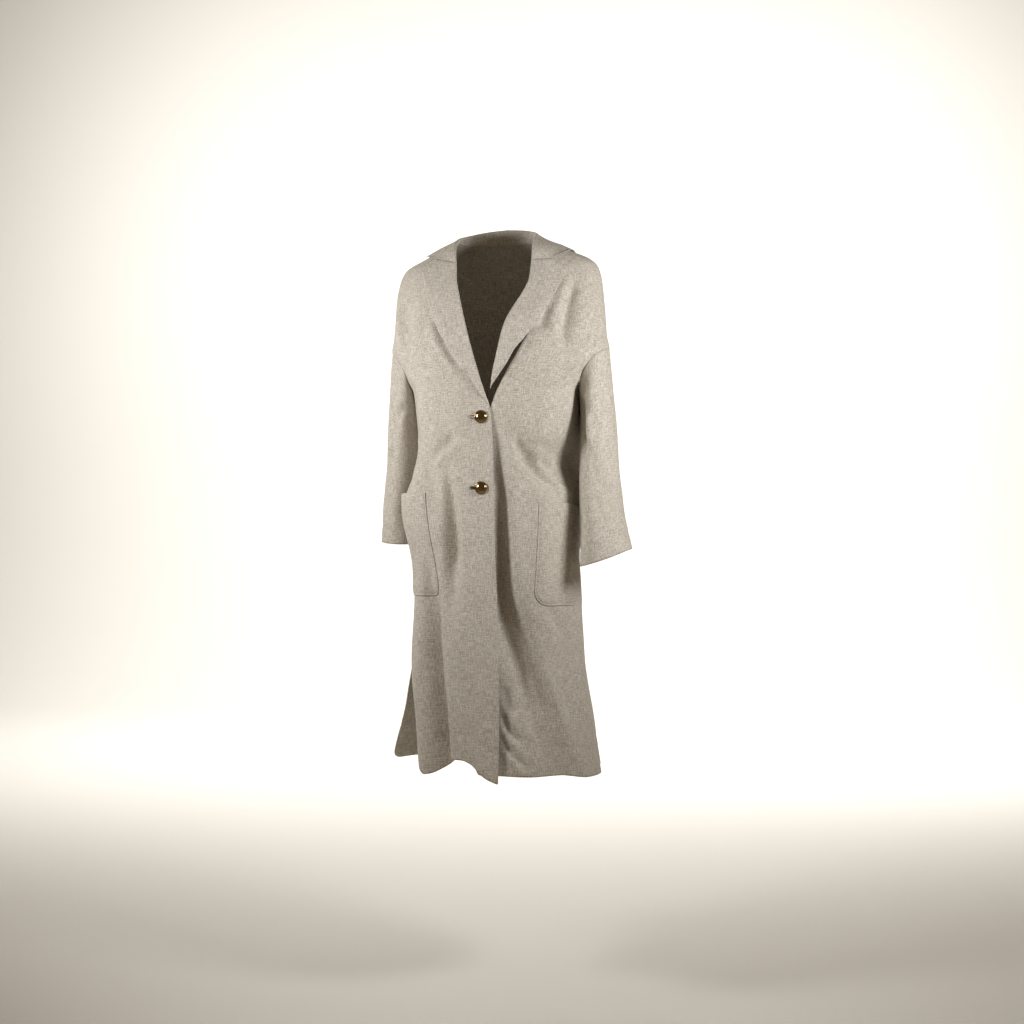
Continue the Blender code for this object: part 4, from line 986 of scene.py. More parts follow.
SleeveRing = namedtuple("SleeveRing", "drop out back half_width half_depth")
SLEEVES = {
    "left": (
        SleeveRing(0.2585, 0.1885, -0.004, 0.0320, 0.057),
        SleeveRing(0.330, 0.1930, -0.004, 0.0345, 0.060),
        SleeveRing(0.400, 0.1995, -0.010, 0.0370, 0.062),
        SleeveRing(0.480, 0.2055, -0.024, 0.0400, 0.062),
        SleeveRing(0.555, 0.2135, -0.040, 0.0430, 0.063),
        SleeveRing(0.626, 0.2225, -0.052, 0.0500, 0.066),
    ),
    "right": (
        SleeveRing(0.2585, 0.1995, -0.004, 0.0240, 0.057),
        SleeveRing(0.330, 0.2055, 0.022, 0.0330, 0.060),
        SleeveRing(0.400, 0.2105, 0.034, 0.0360, 0.061),
        SleeveRing(0.480, 0.2155, 0.042, 0.0380, 0.062),
        SleeveRing(0.555, 0.2190, 0.047, 0.0395, 0.063),
        SleeveRing(0.598, 0.2215, 0.050, 0.0410, 0.065),
    ),
}
CuffTilt = namedtuple("CuffTilt", "towards height")
CUFF_TILTS = {"left": CuffTilt(math.radians(165), 0.017), "right": CuffTilt(math.radians(120), 0.006)}
SleeveFold = namedtuple("SleeveFold", "side drop turn slant half_drop half_turn depth")
SLEEVE_FOLDS = (
    SleeveFold("left", 0.345, 126, 330, 0.06, 30, -0.010),
    SleeveFold("left", 0.34, 84, 420, 0.06, 20, 0.005),
    SleeveFold("left", 0.42, 100, 380, 0.05, 26, 0.004),
    SleeveFold("left", 0.50, 70, -300, 0.06, 28, -0.005),
    SleeveFold("left", 0.40, 300, 300, 0.07, 30, -0.006),
    SleeveFold("left", 0.58, 20, 200, 0.06, 30, -0.005),
    SleeveFold("right", 0.36, 60, 420, 0.05, 28, -0.005),
    SleeveFold("right", 0.45, 40, 300, 0.06, 26, -0.004),
    SleeveFold("right", 0.52, 90, -320, 0.06, 28, 0.004),
    SleeveFold("right", 0.42, 290, 300, 0.07, 30, -0.006),
)
SLEEVE_CREASES = (
    Crease("left", 132, 0.275, 112, 0.455, 0.000, 0.012, -0.0075),
    Crease("left", 128, 0.30, 74, 0.37, 0.006, 0.009, -0.0030),
    Crease("left", 140, 0.37, 84, 0.44, 0.005, 0.008, -0.0024),
    Crease("left", 66, 0.33, 92, 0.47, -0.005, 0.009, -0.0030),
    Crease("left", 30, 0.42, 58, 0.52, 0.005, 0.008, -0.0022),
    Crease("left", 100, 0.49, 70, 0.58, 0.004, 0.009, -0.0024),
    Crease("left", 240, 0.34, 290, 0.41, 0.006, 0.009, -0.0028),
    Crease("left", 310, 0.45, 268, 0.55, 0.005, 0.009, -0.0024),
    Crease("right", 118, 0.31, 66, 0.38, 0.006, 0.009, -0.0030),
    Crease("right", 96, 0.40, 40, 0.46, 0.005, 0.008, -0.0026),
    Crease("right", 58, 0.34, 78, 0.47, -0.004, 0.009, -0.0024),
    Crease("right", 40, 0.49, 84, 0.57, 0.005, 0.009, -0.0024),
    Crease("right", 236, 0.33, 292, 0.41, 0.006, 0.009, -0.0028),
    Crease("right", 320, 0.44, 270, 0.53, 0.005, 0.009, -0.0024),
)

print("sleeve folds:", len(SLEEVE_FOLDS), "and creases:", len(SLEEVE_CREASES))


# %% Sleeve surface
def sleeve_fold_height(side, turn, drop):
    """Folds and creases of a sleeve, none of them at its seam."""
    height = waves(turn * SLEEVE_RADIUS + SLEEVE_OFFSETS[side], drop)
    for crease in SLEEVE_CREASES:
        if crease.panel == side:
            height = height + trough(turn, drop, crease, SLEEVE_RADIUS)
    height = height * smooth_step((drop - SLEEVES[side][0].drop) / (2 * FINE_BLEND))
    for fold in SLEEVE_FOLDS:
        if fold.side == side:
            along = (drop - fold.drop) / fold.half_drop
            centre = math.radians(fold.turn) + np.radians(fold.slant) * (drop - fold.drop)
            off = np.degrees(wrapped(turn - centre)) / fold.half_turn
            height = height + fold.depth * np.exp(-along ** 2 - off ** 2)
    return height


def sleeve_ring(side, turn, drop, height):
    """Points of the free sleeve: ovals round its hanging axis."""
    rings = SLEEVES[side]
    width = read(rings, "half_width", drop) + height
    depth = read(rings, "half_depth", drop) + height
    x = side_sign(side) * (read(rings, "out", drop) + width * np.cos(turn))
    y = read(rings, "back", drop) - depth * np.sin(turn)
    return np.stack([x, y, -drop], axis=-1)


def armhole_loop(side, turn):
    """Points of the armhole seam, from the outer arm round by the front: plain, and with the fine form."""
    drop = ARMHOLE_MIDDLE - ARMHOLE_HALF * np.cos(turn)
    angle = side_sign(side) * (seam_angle(drop) - ARMHOLE_REACH * np.sin(turn))
    normal = normal_of(body_form, angle, drop)
    share = (1 - np.cos(turn)) / 2
    by_front = np.sin(turn) >= 0
    folds = np.where(by_front, fold_height(side, angle, drop), fold_height("back", angle, drop))
    fine = np.where(by_front, fine_height(side, angle, drop), fine_height("back", angle, drop))
    plain = body_form(angle, drop) + normal * (folds + UNDERARM_GAP * share ** 2)[:, None]
    return plain, normal * fine[:, None]


def sleeve_points(side, turn, drop):
    """Points of a sleeve's outer face; the turns run along the last axis."""
    top, foot = SLEEVES[side][0].drop, SLEEVES[side][-1].drop
    plain, fine = armhole_loop(side, turn[0])
    start = sleeve_ring(side, turn[0], np.full_like(turn[0], top), np.zeros_like(turn[0]))
    points = sleeve_ring(side, turn, drop, sleeve_fold_height(side, turn, drop))
    points = points + (1 - smooth_step((drop - top) / ARMHOLE_BLEND))[..., None] * (plain - start)
    points = points + (1 - smooth_step((drop - top) / FINE_BLEND))[..., None] * fine
    tilt = CUFF_TILTS[side]
    lowered = tilt.height * np.cos(turn - tilt.towards) * smooth_step((drop - top) / (foot - top))
    dimple = HEM_DIMPLE * np.exp(-((foot - CUFF_HEM - drop) / HEM_DIMPLE_HALF) ** 2)
    inward = unit((points.mean(axis=1, keepdims=True) - points) * LEVEL)
    return points + inward * dimple[..., None] - UP * lowered[..., None]


def add_sleeve(side):
    top, foot = SLEEVES[side][0].drop, SLEEVES[side][-1].drop
    drops = np.linspace(top, foot, int((foot - top) / SLEEVE_STEP) + 1)
    turn, drop = np.meshgrid(np.linspace(0, 2 * math.pi, SLEEVE_COLUMNS, endpoint=False), drops)
    points = sleeve_points(side, turn, drop)
    flat = flat_places(points, SLEEVE_COLUMNS // 2, tube=True)
    around, down = np.meshgrid(np.linspace(0, 2 * math.pi, SLEEVE_COLUMNS + 1), drops)
    grain = np.stack([around * SLEEVE_RADIUS, down], axis=-1) + SLEEVE_OFFSETS[side]
    add_sheet("sleeve_" + side + "_cloth", "body_linen", points, flat, CLOTH, flip=side == "left", tube=True,
              grain=grain)


for side in SIDES:
    add_sleeve(side)

# %% [markdown]
# ## Lapels
# A lapel is the top of the front turned back on itself, so it is double cloth that rolls round the front's
# edge and lies on the front. Its points are the front's own, moved out. Both stand off a little along their
# free edges, where the photograph shows a line of shade, and both die away into the front at their foot. A
# flat piece could be bent over by a modifier, but it wouldn't follow the front's folds.

# %% Sizes of the lapels
LAPEL_ROWS = 96
LAPEL_COLUMNS = 26
ROLL_COLUMNS = 12
LAPEL_LIFT = 0.0040
LAPEL_FLAT_FROM = 0.004
ROLL_PAST = (0.0006, 0.0026, 0.0032, 0.0018, -LAPEL_FLAT_FROM)
ROLL_LIFTS = (-0.0015, -0.0010, 0.0010, 0.0033, LAPEL_LIFT)
LAPEL_TIP_LIFT = 0.0030
LAPEL_END = 0.16
LAPEL_END_LIFT = 0.0004
LAPEL_END_THICK = 0.12
LAPEL_EDGE_THICK = 0.45
LAPEL_THIN_COLUMNS = 3
NOTCH = {"left": (0.1205, 0.0473), "right": (-0.1126, 0.0400)}
FACING_OFFSETS = {"left": 16.3, "right": 18.1, "collar": 20.7}

RollPoint = namedtuple("RollPoint", "drop x")
LEFT_ROLL = (
    RollPoint(0.0500, 0.0830), RollPoint(0.0850, 0.0825), RollPoint(0.1140, 0.0735),
    RollPoint(0.1348, 0.0624), RollPoint(0.1520, 0.0530), RollPoint(0.1716, 0.0440),
    RollPoint(0.1900, 0.0388), RollPoint(0.2110, 0.0343), RollPoint(0.2433, 0.0285),
    RollPoint(0.2720, 0.0220), RollPoint(0.3000, 0.0152),
)
LapelRow = namedtuple("LapelRow", "roll_drop edge_x edge_drop edge_lift")
LAPELS = {
    "left": (
        LapelRow(0.0500, 0.1473, 0.0751, 0.0004),
        LapelRow(0.0880, 0.1320, 0.1130, 0.0020),
        LapelRow(0.1160, 0.1165, 0.1430, 0.0035),
        LapelRow(0.1520, 0.0990, 0.1765, 0.0045),
        LapelRow(0.1800, 0.0830, 0.2020, 0.0045),
        LapelRow(0.2110, 0.0633, 0.2260, 0.0045),
        LapelRow(0.2433, 0.0480, 0.2530, 0.0045),
        LapelRow(0.2720, 0.0310, 0.2790, 0.0040),
        LapelRow(0.3000, 0.0205, 0.3040, 0.0020),
    ),
    "right": (
        LapelRow(0.0500, -0.1418, 0.0640, 0.0004),
        LapelRow(0.0850, -0.1245, 0.1077, 0.0024),
        LapelRow(0.1140, -0.1137, 0.1363, 0.0045),
        LapelRow(0.1500, -0.0950, 0.1700, 0.0075),
        LapelRow(0.1850, -0.0762, 0.2010, 0.0085),
        LapelRow(0.2300, -0.0500, 0.2380, 0.0075),
        LapelRow(0.2700, -0.0280, 0.2710, 0.0045),
        LapelRow(0.3050, -0.0080, 0.3060, 0.0010),
        LapelRow(0.3400, 0.0104, 0.3406, 0.0004),
    ),
}

print("lapel rows:", len(LAPELS["left"]))


# %% Lapel surface
def roll_line(side, drop):
    """Where a lapel turns over: the right one at its front's edge, the left one past it lower down."""
    return read(LEFT_ROLL, "x", drop) if side == "left" else read(FRONT_EDGES, side, drop)


def along_rows(rows, t):
    """Every column of a table of evenly spaced rows, read at shares of its length."""
    stations = np.linspace(0, 1, len(rows))
    return [smooth_through(stations, column(rows, name), t) for name in rows[0]._fields]


def lapel_outline(side, t):
    """Roll line, free edge and edge lift of a lapel at a share t of its length."""
    roll_drop, edge_x, edge_drop, edge_lift = along_rows(LAPELS[side], t)
    return roll_line(side, roll_drop), roll_drop, edge_x, edge_drop, edge_lift


def notch_share(side):
    """Where the notch falls on the lapel's top edge, from its roll line to its point."""
    roll_x, _, edge_x, _, _ = lapel_outline(side, np.array(0.0))
    return float((NOTCH[side][0] - roll_x) / (edge_x - roll_x))


def notch_rise(side, share):
    """Rise of the lapel's top edge from its straight line up to the notch."""
    _, roll_drop, _, edge_drop, _ = lapel_outline(side, np.array(0.0))
    at = notch_share(side)
    rise = roll_drop + (edge_drop - roll_drop) * at - NOTCH[side][1]
    return rise * np.where(share < at, share / at, (1 - share) / (1 - at))


def lapel_left_over(t):
    """How much of the lapel's roll is left at a share of its length: it dies away into the front's edge."""
    return smooth_step((1 - t) / LAPEL_END)


def rolled_edge(side, roll_x, roll_drop, turns, left_over=1.0):
    """Columns of double cloth rolling round a front's edge; the turns run from 0 to 4 where it lies flat."""
    columns = []
    for turn in turns:
        past = smooth_through(range(len(ROLL_PAST)), ROLL_PAST, turn) * left_over
        lift = smooth_through(range(len(ROLL_LIFTS)), ROLL_LIFTS, turn)
        lift = LAPEL_END_LIFT + (lift - LAPEL_END_LIFT) * left_over
        angle = angle_at(roll_x - side_sign(side) * past, roll_drop)
        columns.append(laid_on(side, angle, roll_drop, lift))
    return np.stack(columns, axis=1)


def lapel_flat(side, share, t):
    """Angle, drop and lift of the lapel's flat part."""
    roll_x, roll_drop, edge_x, edge_drop, edge_lift = lapel_outline(side, t)
    flat_from = side_sign(side) * LAPEL_FLAT_FROM * lapel_left_over(t)
    narrowed = np.maximum(lapel_left_over(t), LAPEL_END_THICK)
    x = roll_x + flat_from + (edge_x - roll_x - flat_from) * share * narrowed
    drop = roll_drop + (edge_drop - roll_drop) * share - notch_rise(side, share) * (1 - t) ** 3
    lift = LAPEL_LIFT + (edge_lift - LAPELS[side][0].edge_lift) * share ** 2
    at = notch_share(side)
    lift = lift + LAPEL_TIP_LIFT * smooth_step((share - at) / (1 - at)) * (1 - t) ** 4
    return angle_at(x, drop), drop, LAPEL_END_LIFT + (lift - LAPEL_END_LIFT) * lapel_left_over(t)


def add_lapel(side):
    shares = np.sort(np.append(np.linspace(0, 1, LAPEL_COLUMNS), notch_share(side)))
    share, t = np.meshgrid(shares, np.linspace(0, 1, LAPEL_ROWS))
    roll_x, roll_drop = lapel_outline(side, t[:, 0])[:2]
    turns = np.linspace(0, len(ROLL_PAST) - 1, ROLL_COLUMNS, endpoint=False)
    flat_part = laid_on(side, *lapel_flat(side, share, t))
    left_over = lapel_left_over(t[:, 0])
    rolled = rolled_edge(side, roll_x, roll_drop, turns, left_over)
    points = np.concatenate([rolled, flat_part], axis=1)
    flat = flat_places(points, ROLL_COLUMNS)
    grain = np.stack([points[..., 0], -points[..., 2]], axis=-1) + FACING_OFFSETS[side]
    towards_edge = np.arange(points.shape[1])[::-1] / LAPEL_THIN_COLUMNS
    edge_kept = LAPEL_EDGE_THICK + (1 - LAPEL_EDGE_THICK) * np.clip(towards_edge, 0, 1)
    thinned = np.maximum(left_over, LAPEL_END_THICK)[:, None] * edge_kept[None]
    add_sheet("lapel_" + side + "_cloth", "facing_linen", points, flat, DOUBLE_CLOTH, flip=side == "right",
              thinned=thinned, grain=grain)


for side in SIDES:
    add_lapel(side)

# %% [markdown]
# ## Collar
# The collar stands up from the neckline, rolls over and falls on the shoulders and the back. Its ends meet
# the lapels along the gorge seam as far as the notch. It is one sheet, from its foot up over the roll to its
# free edge: a sculpted collar could look as good, but its ends wouldn't meet the gorge. The foot runs a
# little way down inside the neck, as the seam allowance does, so no light shows there.

# %% Sizes of the collar
COLLAR_ROWS = 76
STAND_COLUMNS = 6
COLLAR_ROLL_COLUMNS = 9
FALL_COLUMNS = 18
COLLAR_LIFT = 0.0045
COLLAR_FOOT_LIFT = 0.0012
COLLAR_FOOT_INSET = 0.0010
COLLAR_FOOT_DOWN = 0.004
COLLAR_ROLL_HALF = 0.0032
COLLAR_ROLL_DROP = 0.0025
NOTCH_SHARE = 0.55
COLLAR_TIP_LIFT = 0.0024
GORGE_EASE = 0.30
GORGE_TUCK = 0.0008
GORGE_SUNK = 0.0002
GORGE_TUCK_EASE = 0.12
THIN_EDGE = 0.30
THIN_ROWS = 4
THIN_COLUMNS = 3

CollarRow = namedtuple(
    "CollarRow", "foot_angle foot_drop roll_out roll_back roll_rise edge_angle edge_drop")
COLLAR_BACK = (
    CollarRow(90, -0.0020, 0.0745, 0.0000, 0.0150, 93, 0.0262),
    CollarRow(118, -0.0045, 0.0620, 0.0310, 0.0245, 112, 0.0285),
    CollarRow(148, -0.0065, 0.0345, 0.0525, 0.0330, 142, 0.0340),
    CollarRow(180, -0.0080, 0.0000, 0.0590, 0.0365, 180, 0.0370),
)
COLLAR = {
    "left": (
        CollarRow(25, 0.0500, 0.0800, -0.0800, -0.0470, 73, 0.0290),
        CollarRow(30, 0.0330, 0.0815, -0.0745, -0.0290, 76, 0.0275),
        CollarRow(40, 0.0180, 0.0815, -0.0600, -0.0090, 80, 0.0262),
        CollarRow(64, 0.0030, 0.0795, -0.0330, 0.0055, 85, 0.0258),
        *COLLAR_BACK,
    ),
    "right": (
        CollarRow(22, 0.0500, 0.0690, -0.0810, -0.0470, 68, 0.0305),
        CollarRow(27, 0.0330, 0.0735, -0.0760, -0.0290, 74, 0.0275),
        CollarRow(38, 0.0180, 0.0775, -0.0600, -0.0090, 79, 0.0262),
        CollarRow(64, 0.0030, 0.0785, -0.0330, 0.0055, 85, 0.0258),
        *COLLAR_BACK,
    ),
}

print("collar rows:", len(COLLAR["left"]))


# %% Collar surface
def laid_on_body(side, angle, drop, lift):
    """Points laid on a front, or on the back past the shoulder seam."""
    on_front = (np.abs(angle) < SHOULDER_SEAM)[..., None]
    return np.where(on_front, laid_on(side, angle, drop, lift), laid_on("back", angle, drop, lift))


def collar_end(side, turns, shares):
    """The collar's end: round the roll, along the gorge to the notch, then out to its tip."""
    roll_x, roll_drop = (value[:1] for value in lapel_outline(side, np.zeros(1))[:2])
    rolled = rolled_edge(side, roll_x, roll_drop + GORGE_TUCK, turns)[0]
    tip = COLLAR[side][0]
    tip_x = side_sign(side) * read(BODY, side, tip.edge_drop) * math.sin(math.radians(tip.edge_angle))
    flat_x = roll_x[0] + side_sign(side) * LAPEL_FLAT_FROM
    stations = (0.0, NOTCH_SHARE, 1.0)
    x = np.interp(shares, stations, (flat_x, NOTCH[side][0], tip_x))
    tucked = smooth_step((NOTCH_SHARE - shares) / GORGE_TUCK_EASE)
    drop = np.interp(shares, stations, (roll_drop[0], NOTCH[side][1], tip.edge_drop))
    drop = drop - SEAM_GAP + (SEAM_GAP + GORGE_TUCK) * tucked
    lift = LAPEL_LIFT - GORGE_SUNK * tucked + COLLAR_TIP_LIFT * shares ** 2
    return np.concatenate([rolled, laid_on(side, angle_at(x, drop), drop, lift)])


def collar_stand(foot, roll, outward):
    """Columns from the foot up the stand and over the roll."""
    near = roll - outward * COLLAR_ROLL_HALF - UP * COLLAR_ROLL_DROP
    far = roll + outward * COLLAR_ROLL_HALF - UP * COLLAR_ROLL_DROP
    crown = roll + UP * COLLAR_ROLL_DROP
    rising = np.linspace(0, 1, STAND_COLUMNS, endpoint=False)
    over = np.linspace(0, 1, COLLAR_ROLL_COLUMNS, endpoint=False)
    columns = [foot - UP * COLLAR_FOOT_DOWN]
    columns += [foot + (near - foot) * s for s in rising]
    columns += [near * (1 - s) ** 2 + crown * 2 * s * (1 - s) + far * s ** 2 for s in over]
    return columns, far


def collar_half(side):
    """Half the collar, from its end on a front to the centre back."""
    t = np.linspace(0, 1, COLLAR_ROWS)
    foot_angle, foot_drop, roll_out, roll_back, roll_rise, edge_angle, edge_drop = along_rows(COLLAR[side], t)
    sign = side_sign(side)
    on_front = np.abs(angle_at(read(FRONT_EDGES, side, foot_drop), foot_drop))
    foot_angle = sign * np.where(foot_angle < 90, on_front, np.radians(foot_angle))
    edge_angle = sign * np.radians(edge_angle)
    outward = unit(body_form(foot_angle, foot_drop) * LEVEL)
    foot = laid_on_body(side, foot_angle, foot_drop, COLLAR_FOOT_LIFT) - outward * COLLAR_FOOT_INSET
    roll = np.stack([sign * roll_out, roll_back, roll_rise], axis=-1)
    columns, far = collar_stand(foot, roll, outward)
    lying = laid_on_body(side, foot_angle, foot_drop, COLLAR_LIFT)
    shares = np.linspace(0, 1, FALL_COLUMNS)
    for share in shares:
        angle = foot_angle + (edge_angle - foot_angle) * share
        drop = foot_drop + (edge_drop - foot_drop) * share
        columns.append(laid_on_body(side, angle, drop, COLLAR_LIFT) + (far - lying) * (1 - share) ** 2)
    points = np.stack(columns, axis=1)
    turns = np.linspace(0, len(ROLL_PAST) - 1, points.shape[1] - FALL_COLUMNS, endpoint=False)
    ease = (np.clip(1 - t / GORGE_EASE, 0, 1) ** 2)[:, None, None]
    return points + ease * (collar_end(side, turns, shares) - points[0])[None]


def thin_edges(rows, columns):
    """Share of its thickness that the collar keeps: it thins towards its ends and its free edge."""
    row, place = np.arange(rows)[:, None], np.arange(columns)[None]
    from_end = np.minimum(row, row[::-1]) / THIN_ROWS
    from_edge = place[:, ::-1] / THIN_COLUMNS
    return THIN_EDGE + (1 - THIN_EDGE) * np.clip(np.minimum(from_end, from_edge), 0, 1)


def add_collar():
    left, right = collar_half("left"), collar_half("right")
    points = np.concatenate([left, right[-2::-1]], axis=0)
    flat = flat_places(points, 0)[..., ::-1] + FACING_OFFSETS["collar"]
    add_sheet("collar_cloth", "facing_linen", points, flat, DOUBLE_CLOTH, flip=True,
              thinned=thin_edges(*points.shape[:2]))


add_collar()

# %% [markdown]
# ## Patch pockets
# Each pocket is a patch laid on its front, caught along its sides and its rounded foot, with a mouth that
# gapes a little. It is made from the front's own points, so every fold of the front runs on across it.

# %% Pockets
POCKET_HEIGHT = 0.200
POCKET_CORNER = 0.030
POCKET_SLANT = 0.010
POCKET_SLANT_LOST = 0.6
POCKET_EDGE_GAP = 0.0004
POCKET_PUFF = 0.0018
POCKET_GROOVE = 0.0007
POCKET_GROOVE_IN = 0.0035
POCKET_GROOVE_HALF = 0.0018
POCKET_PUFF_FROM = 0.016
POCKET_GAPE_DEPTH = 0.03
POCKET_GAPE_SKEW = 2.0
POCKET_COLUMNS = 60
POCKET_STRAIGHT_ROWS = 44
POCKET_CORNER_ROWS = 14
RING_SAMPLES = 60
POCKET_OFFSETS = {"left": 23.9, "right": 25.3}

PocketPlace = namedtuple("PocketPlace", "top_drop top_x foot_x width mouth_lift")
POCKETS = {
    "left": PocketPlace(0.516, 0.1005, 0.0915, 0.140, 0.0015),
    "right": PocketPlace(0.500, -0.1258, -0.0970, 0.126, 0.0080),
}


def pocket_edges(side, drop):
    """Shares of a front's rows at which the pocket's two upright edges lie."""
    place = POCKETS[side]
    down = (drop - place.top_drop) / POCKET_HEIGHT
    near = angle_at(place.top_x + (place.foot_x - place.top_x) * down, drop)
    start = angle_at(read(FRONT_EDGES, side, drop), drop)
    end = side_sign(side) * side_edge(drop, False)
    fan = np.linspace(0, 1, RING_SAMPLES)
    angles = near[:, None] + (end - near)[:, None] * fan
    ring = cloth(side, angles, np.broadcast_to(drop[:, None], angles.shape))
    run = np.cumsum(np.linalg.norm(np.diff(ring, axis=1), axis=-1), axis=1)
    far = np.array([np.interp(place.width, row, fan[1:]) for row in run])
    first = (near - start) / (end - start)
    return first, first + (1 - first) * far


def corner_cut(side, down):
    """Share of a pocket's width that its round corner takes off each side at depths below its mouth."""
    past = np.clip(down - POCKET_HEIGHT + POCKET_CORNER, 0, POCKET_CORNER)
    return (POCKET_CORNER - np.sqrt(POCKET_CORNER ** 2 - past ** 2)) / POCKETS[side].width


def pocket_places(side, across, down):
    """Angle, drop and lift of a pocket's outer face at shares across it and depths below its mouth."""
    place = POCKETS[side]
    cut_in = corner_cut(side, down)
    first, second = pocket_edges(side, place.top_drop + down)
    inset = cut_in[:, None] + (1 - 2 * cut_in)[:, None] * across
    share = first[:, None] + (second - first)[:, None] * inset
    slant = POCKET_SLANT * inset * (1 - POCKET_SLANT_LOST * down[:, None] / POCKET_HEIGHT)
    drop = place.top_drop + down[:, None] + slant
    sewn = np.minimum(np.minimum(across, 1 - across) * place.width, POCKET_HEIGHT - down[:, None])
    puff = POCKET_PUFF * smooth_step(sewn / POCKET_PUFF_FROM)
    puff = puff - POCKET_GROOVE * np.exp(-((sewn - POCKET_GROOVE_IN) / POCKET_GROOVE_HALF) ** 2)
    gape = place.mouth_lift * np.exp(-down / POCKET_GAPE_DEPTH)[:, None]
    gape = gape * np.sin(math.pi * across ** POCKET_GAPE_SKEW)
    return front_angle(side, share, drop), drop, CLOTH + POCKET_EDGE_GAP + puff + gape


def add_pocket(side):
    straight = POCKET_HEIGHT - POCKET_CORNER
    turns = np.linspace(0, math.pi / 2, POCKET_CORNER_ROWS)
    upright = np.linspace(0, straight, POCKET_STRAIGHT_ROWS, endpoint=False)
    down = np.concatenate([upright, straight + POCKET_CORNER * np.sin(turns)])
    across = np.broadcast_to(spread(POCKET_COLUMNS), (len(down), POCKET_COLUMNS))
    points = laid_on(side, *pocket_places(side, across, down))
    flat = flat_places(points, POCKET_COLUMNS // 2) + POCKET_OFFSETS[side]
    add_sheet("pocket_" + side + "_cloth", "body_linen", points, flat, CLOTH, flip=side == "right")


for side in SIDES:
    add_pocket(side)

# %% [markdown]
# ## Buttons
# Two domed brass buttons with a rolled rim close the coat. A turned piece is a profile spun round its axis,
# so each button is a lathe of one smooth profile, where a flattened sphere would have no rim. Handled brass
# stays bright in places and dulls in others, so a fine noise darkens and roughens it unevenly.

# %% Buttons
BUTTON_X = -0.002
BUTTON_STANDOFF = 0.0004
SHANK_RADIUS = 0.0013
BUTTON_PROFILE = (
    (0.0013, 0.0000), (0.0100, 0.0002), (0.0120, 0.0008), (0.0125, 0.0016), (0.0122, 0.0024),
    (0.0114, 0.0029), (0.0108, 0.0028), (0.0100, 0.0042), (0.0082, 0.0056), (0.0056, 0.0067),
    (0.0028, 0.0073), (0.0, 0.0075),
)
BUTTON_SEGMENTS = 64
BUTTON_ROWS = 60
BRASS = (0.36, 0.25, 0.12)
BRASS_DULL = (0.17, 0.11, 0.05)
BRASS_WEAR_SCALE = 260.0
BRASS_WEAR_DETAIL = 4.0
BRASS_WEAR_SHARE = 0.6
BRASS_WEAR_FROM = -0.12
BRASS_SMOOTHEST = 0.09
BRASS_ROUGHNESS_RANGE = 0.12
MERGE_DISTANCE = 1e-6


def brass_material():
    material, shader = new_material("button_brass")
    nodes = Nodes(material.node_tree)
    place = nodes.add("ShaderNodeTexCoord").outputs["Object"]
    wear = nodes.add("ShaderNodeTexNoise", Vector=place, Scale=BRASS_WEAR_SCALE, Detail=BRASS_WEAR_DETAIL)
    dull = nodes.math("MULTIPLY_ADD", wear.outputs["Fac"], BRASS_WEAR_SHARE, BRASS_WEAR_FROM)
    dull.node.use_clamp = True
    roughness = nodes.math("MULTIPLY_ADD", dull, BRASS_ROUGHNESS_RANGE, BRASS_SMOOTHEST)
    nodes.give(shader.inputs["Base Color"], nodes.blend(dull, (*BRASS, 1.0), (*BRASS_DULL, 1.0)))
    nodes.give(shader.inputs["Roughness"], roughness)
    shader.inputs["Metallic"].default_value = 1.0
    return material


def closure_point(drop, lift):
    """Point and outward direction at the button line of the right front."""
    drop = np.array([drop])
    angle = angle_at(np.array([BUTTON_X]), drop)
    normal = normal_of(partial(cloth, "right"), angle, drop)[0]
    return laid_on("right", angle, drop, lift)[0], normal


def facing(point, normal):
    """Placement whose +Z runs along a normal and whose X stays level."""
    z = Vector(normal)
    x = Vector((0, 0, 1)).cross(z).normalized()
    placement = Matrix((x, z.cross(x), z)).transposed().to_4x4()
    placement.translation = Vector(point)
    return placement


def add_button(name, drop):
    point, normal = closure_point(drop, BUTTON_STANDOFF)
    shank_end = -(BUTTON_STANDOFF + CLOTH + LAYER_GAP - SEAM_GAP)
    profile = [(0.0, shank_end), (SHANK_RADIUS, shank_end), *BUTTON_PROFILE]
    stations = np.linspace(0, 1, len(profile))
    at = np.linspace(0, 1, BUTTON_ROWS)
    radius = smooth_through(stations, [r for r, _ in profile], at)
    height = smooth_through(stations, [h for _, h in profile], at)
    turns = np.linspace(0, 2 * math.pi, BUTTON_SEGMENTS, endpoint=False)
    rings = np.stack([radius[:, None] * np.cos(turns), radius[:, None] * np.sin(turns),
                      np.broadcast_to(height[:, None], (BUTTON_ROWS, BUTTON_SEGMENTS))], axis=-1)
    mesh = bpy.data.meshes.new(name + "_brass")
    faces = grid_cells(BUTTON_ROWS, BUTTON_SEGMENTS, tube=True).reshape(-1, 4)[:, ::-1]
    mesh.from_pydata(rings.reshape(-1, 3).tolist(), [], faces.tolist())
    mesh.transform(facing(point, normal))
    work = bmesh.new()
    work.from_mesh(mesh)
    bmesh.ops.remove_doubles(work, verts=work.verts, dist=MERGE_DISTANCE)
    bmesh.ops.recalc_face_normals(work, faces=work.faces)
    work.to_mesh(mesh)
    work.free()
    mesh.materials.append(FINISHES["button_brass"])
    mesh.shade_smooth()
    piece = in_scene(name + "_brass", mesh)
    print(piece.name, len(mesh.polygons), "faces")
    return piece


FINISHES["button_brass"] = brass_material()
BUTTONS = {name: add_button(name, drop) for name, drop in BUTTON_DROPS.items()}

# %% [markdown]
# ## Buttonholes
# Each button passes a level slit in the right front. Leaving out cells of the grid would make a slit with
# ragged ends. Instead a box cuts it from the finished sheet with a Boolean modifier, which is then made
# final, and the box is taken away again.

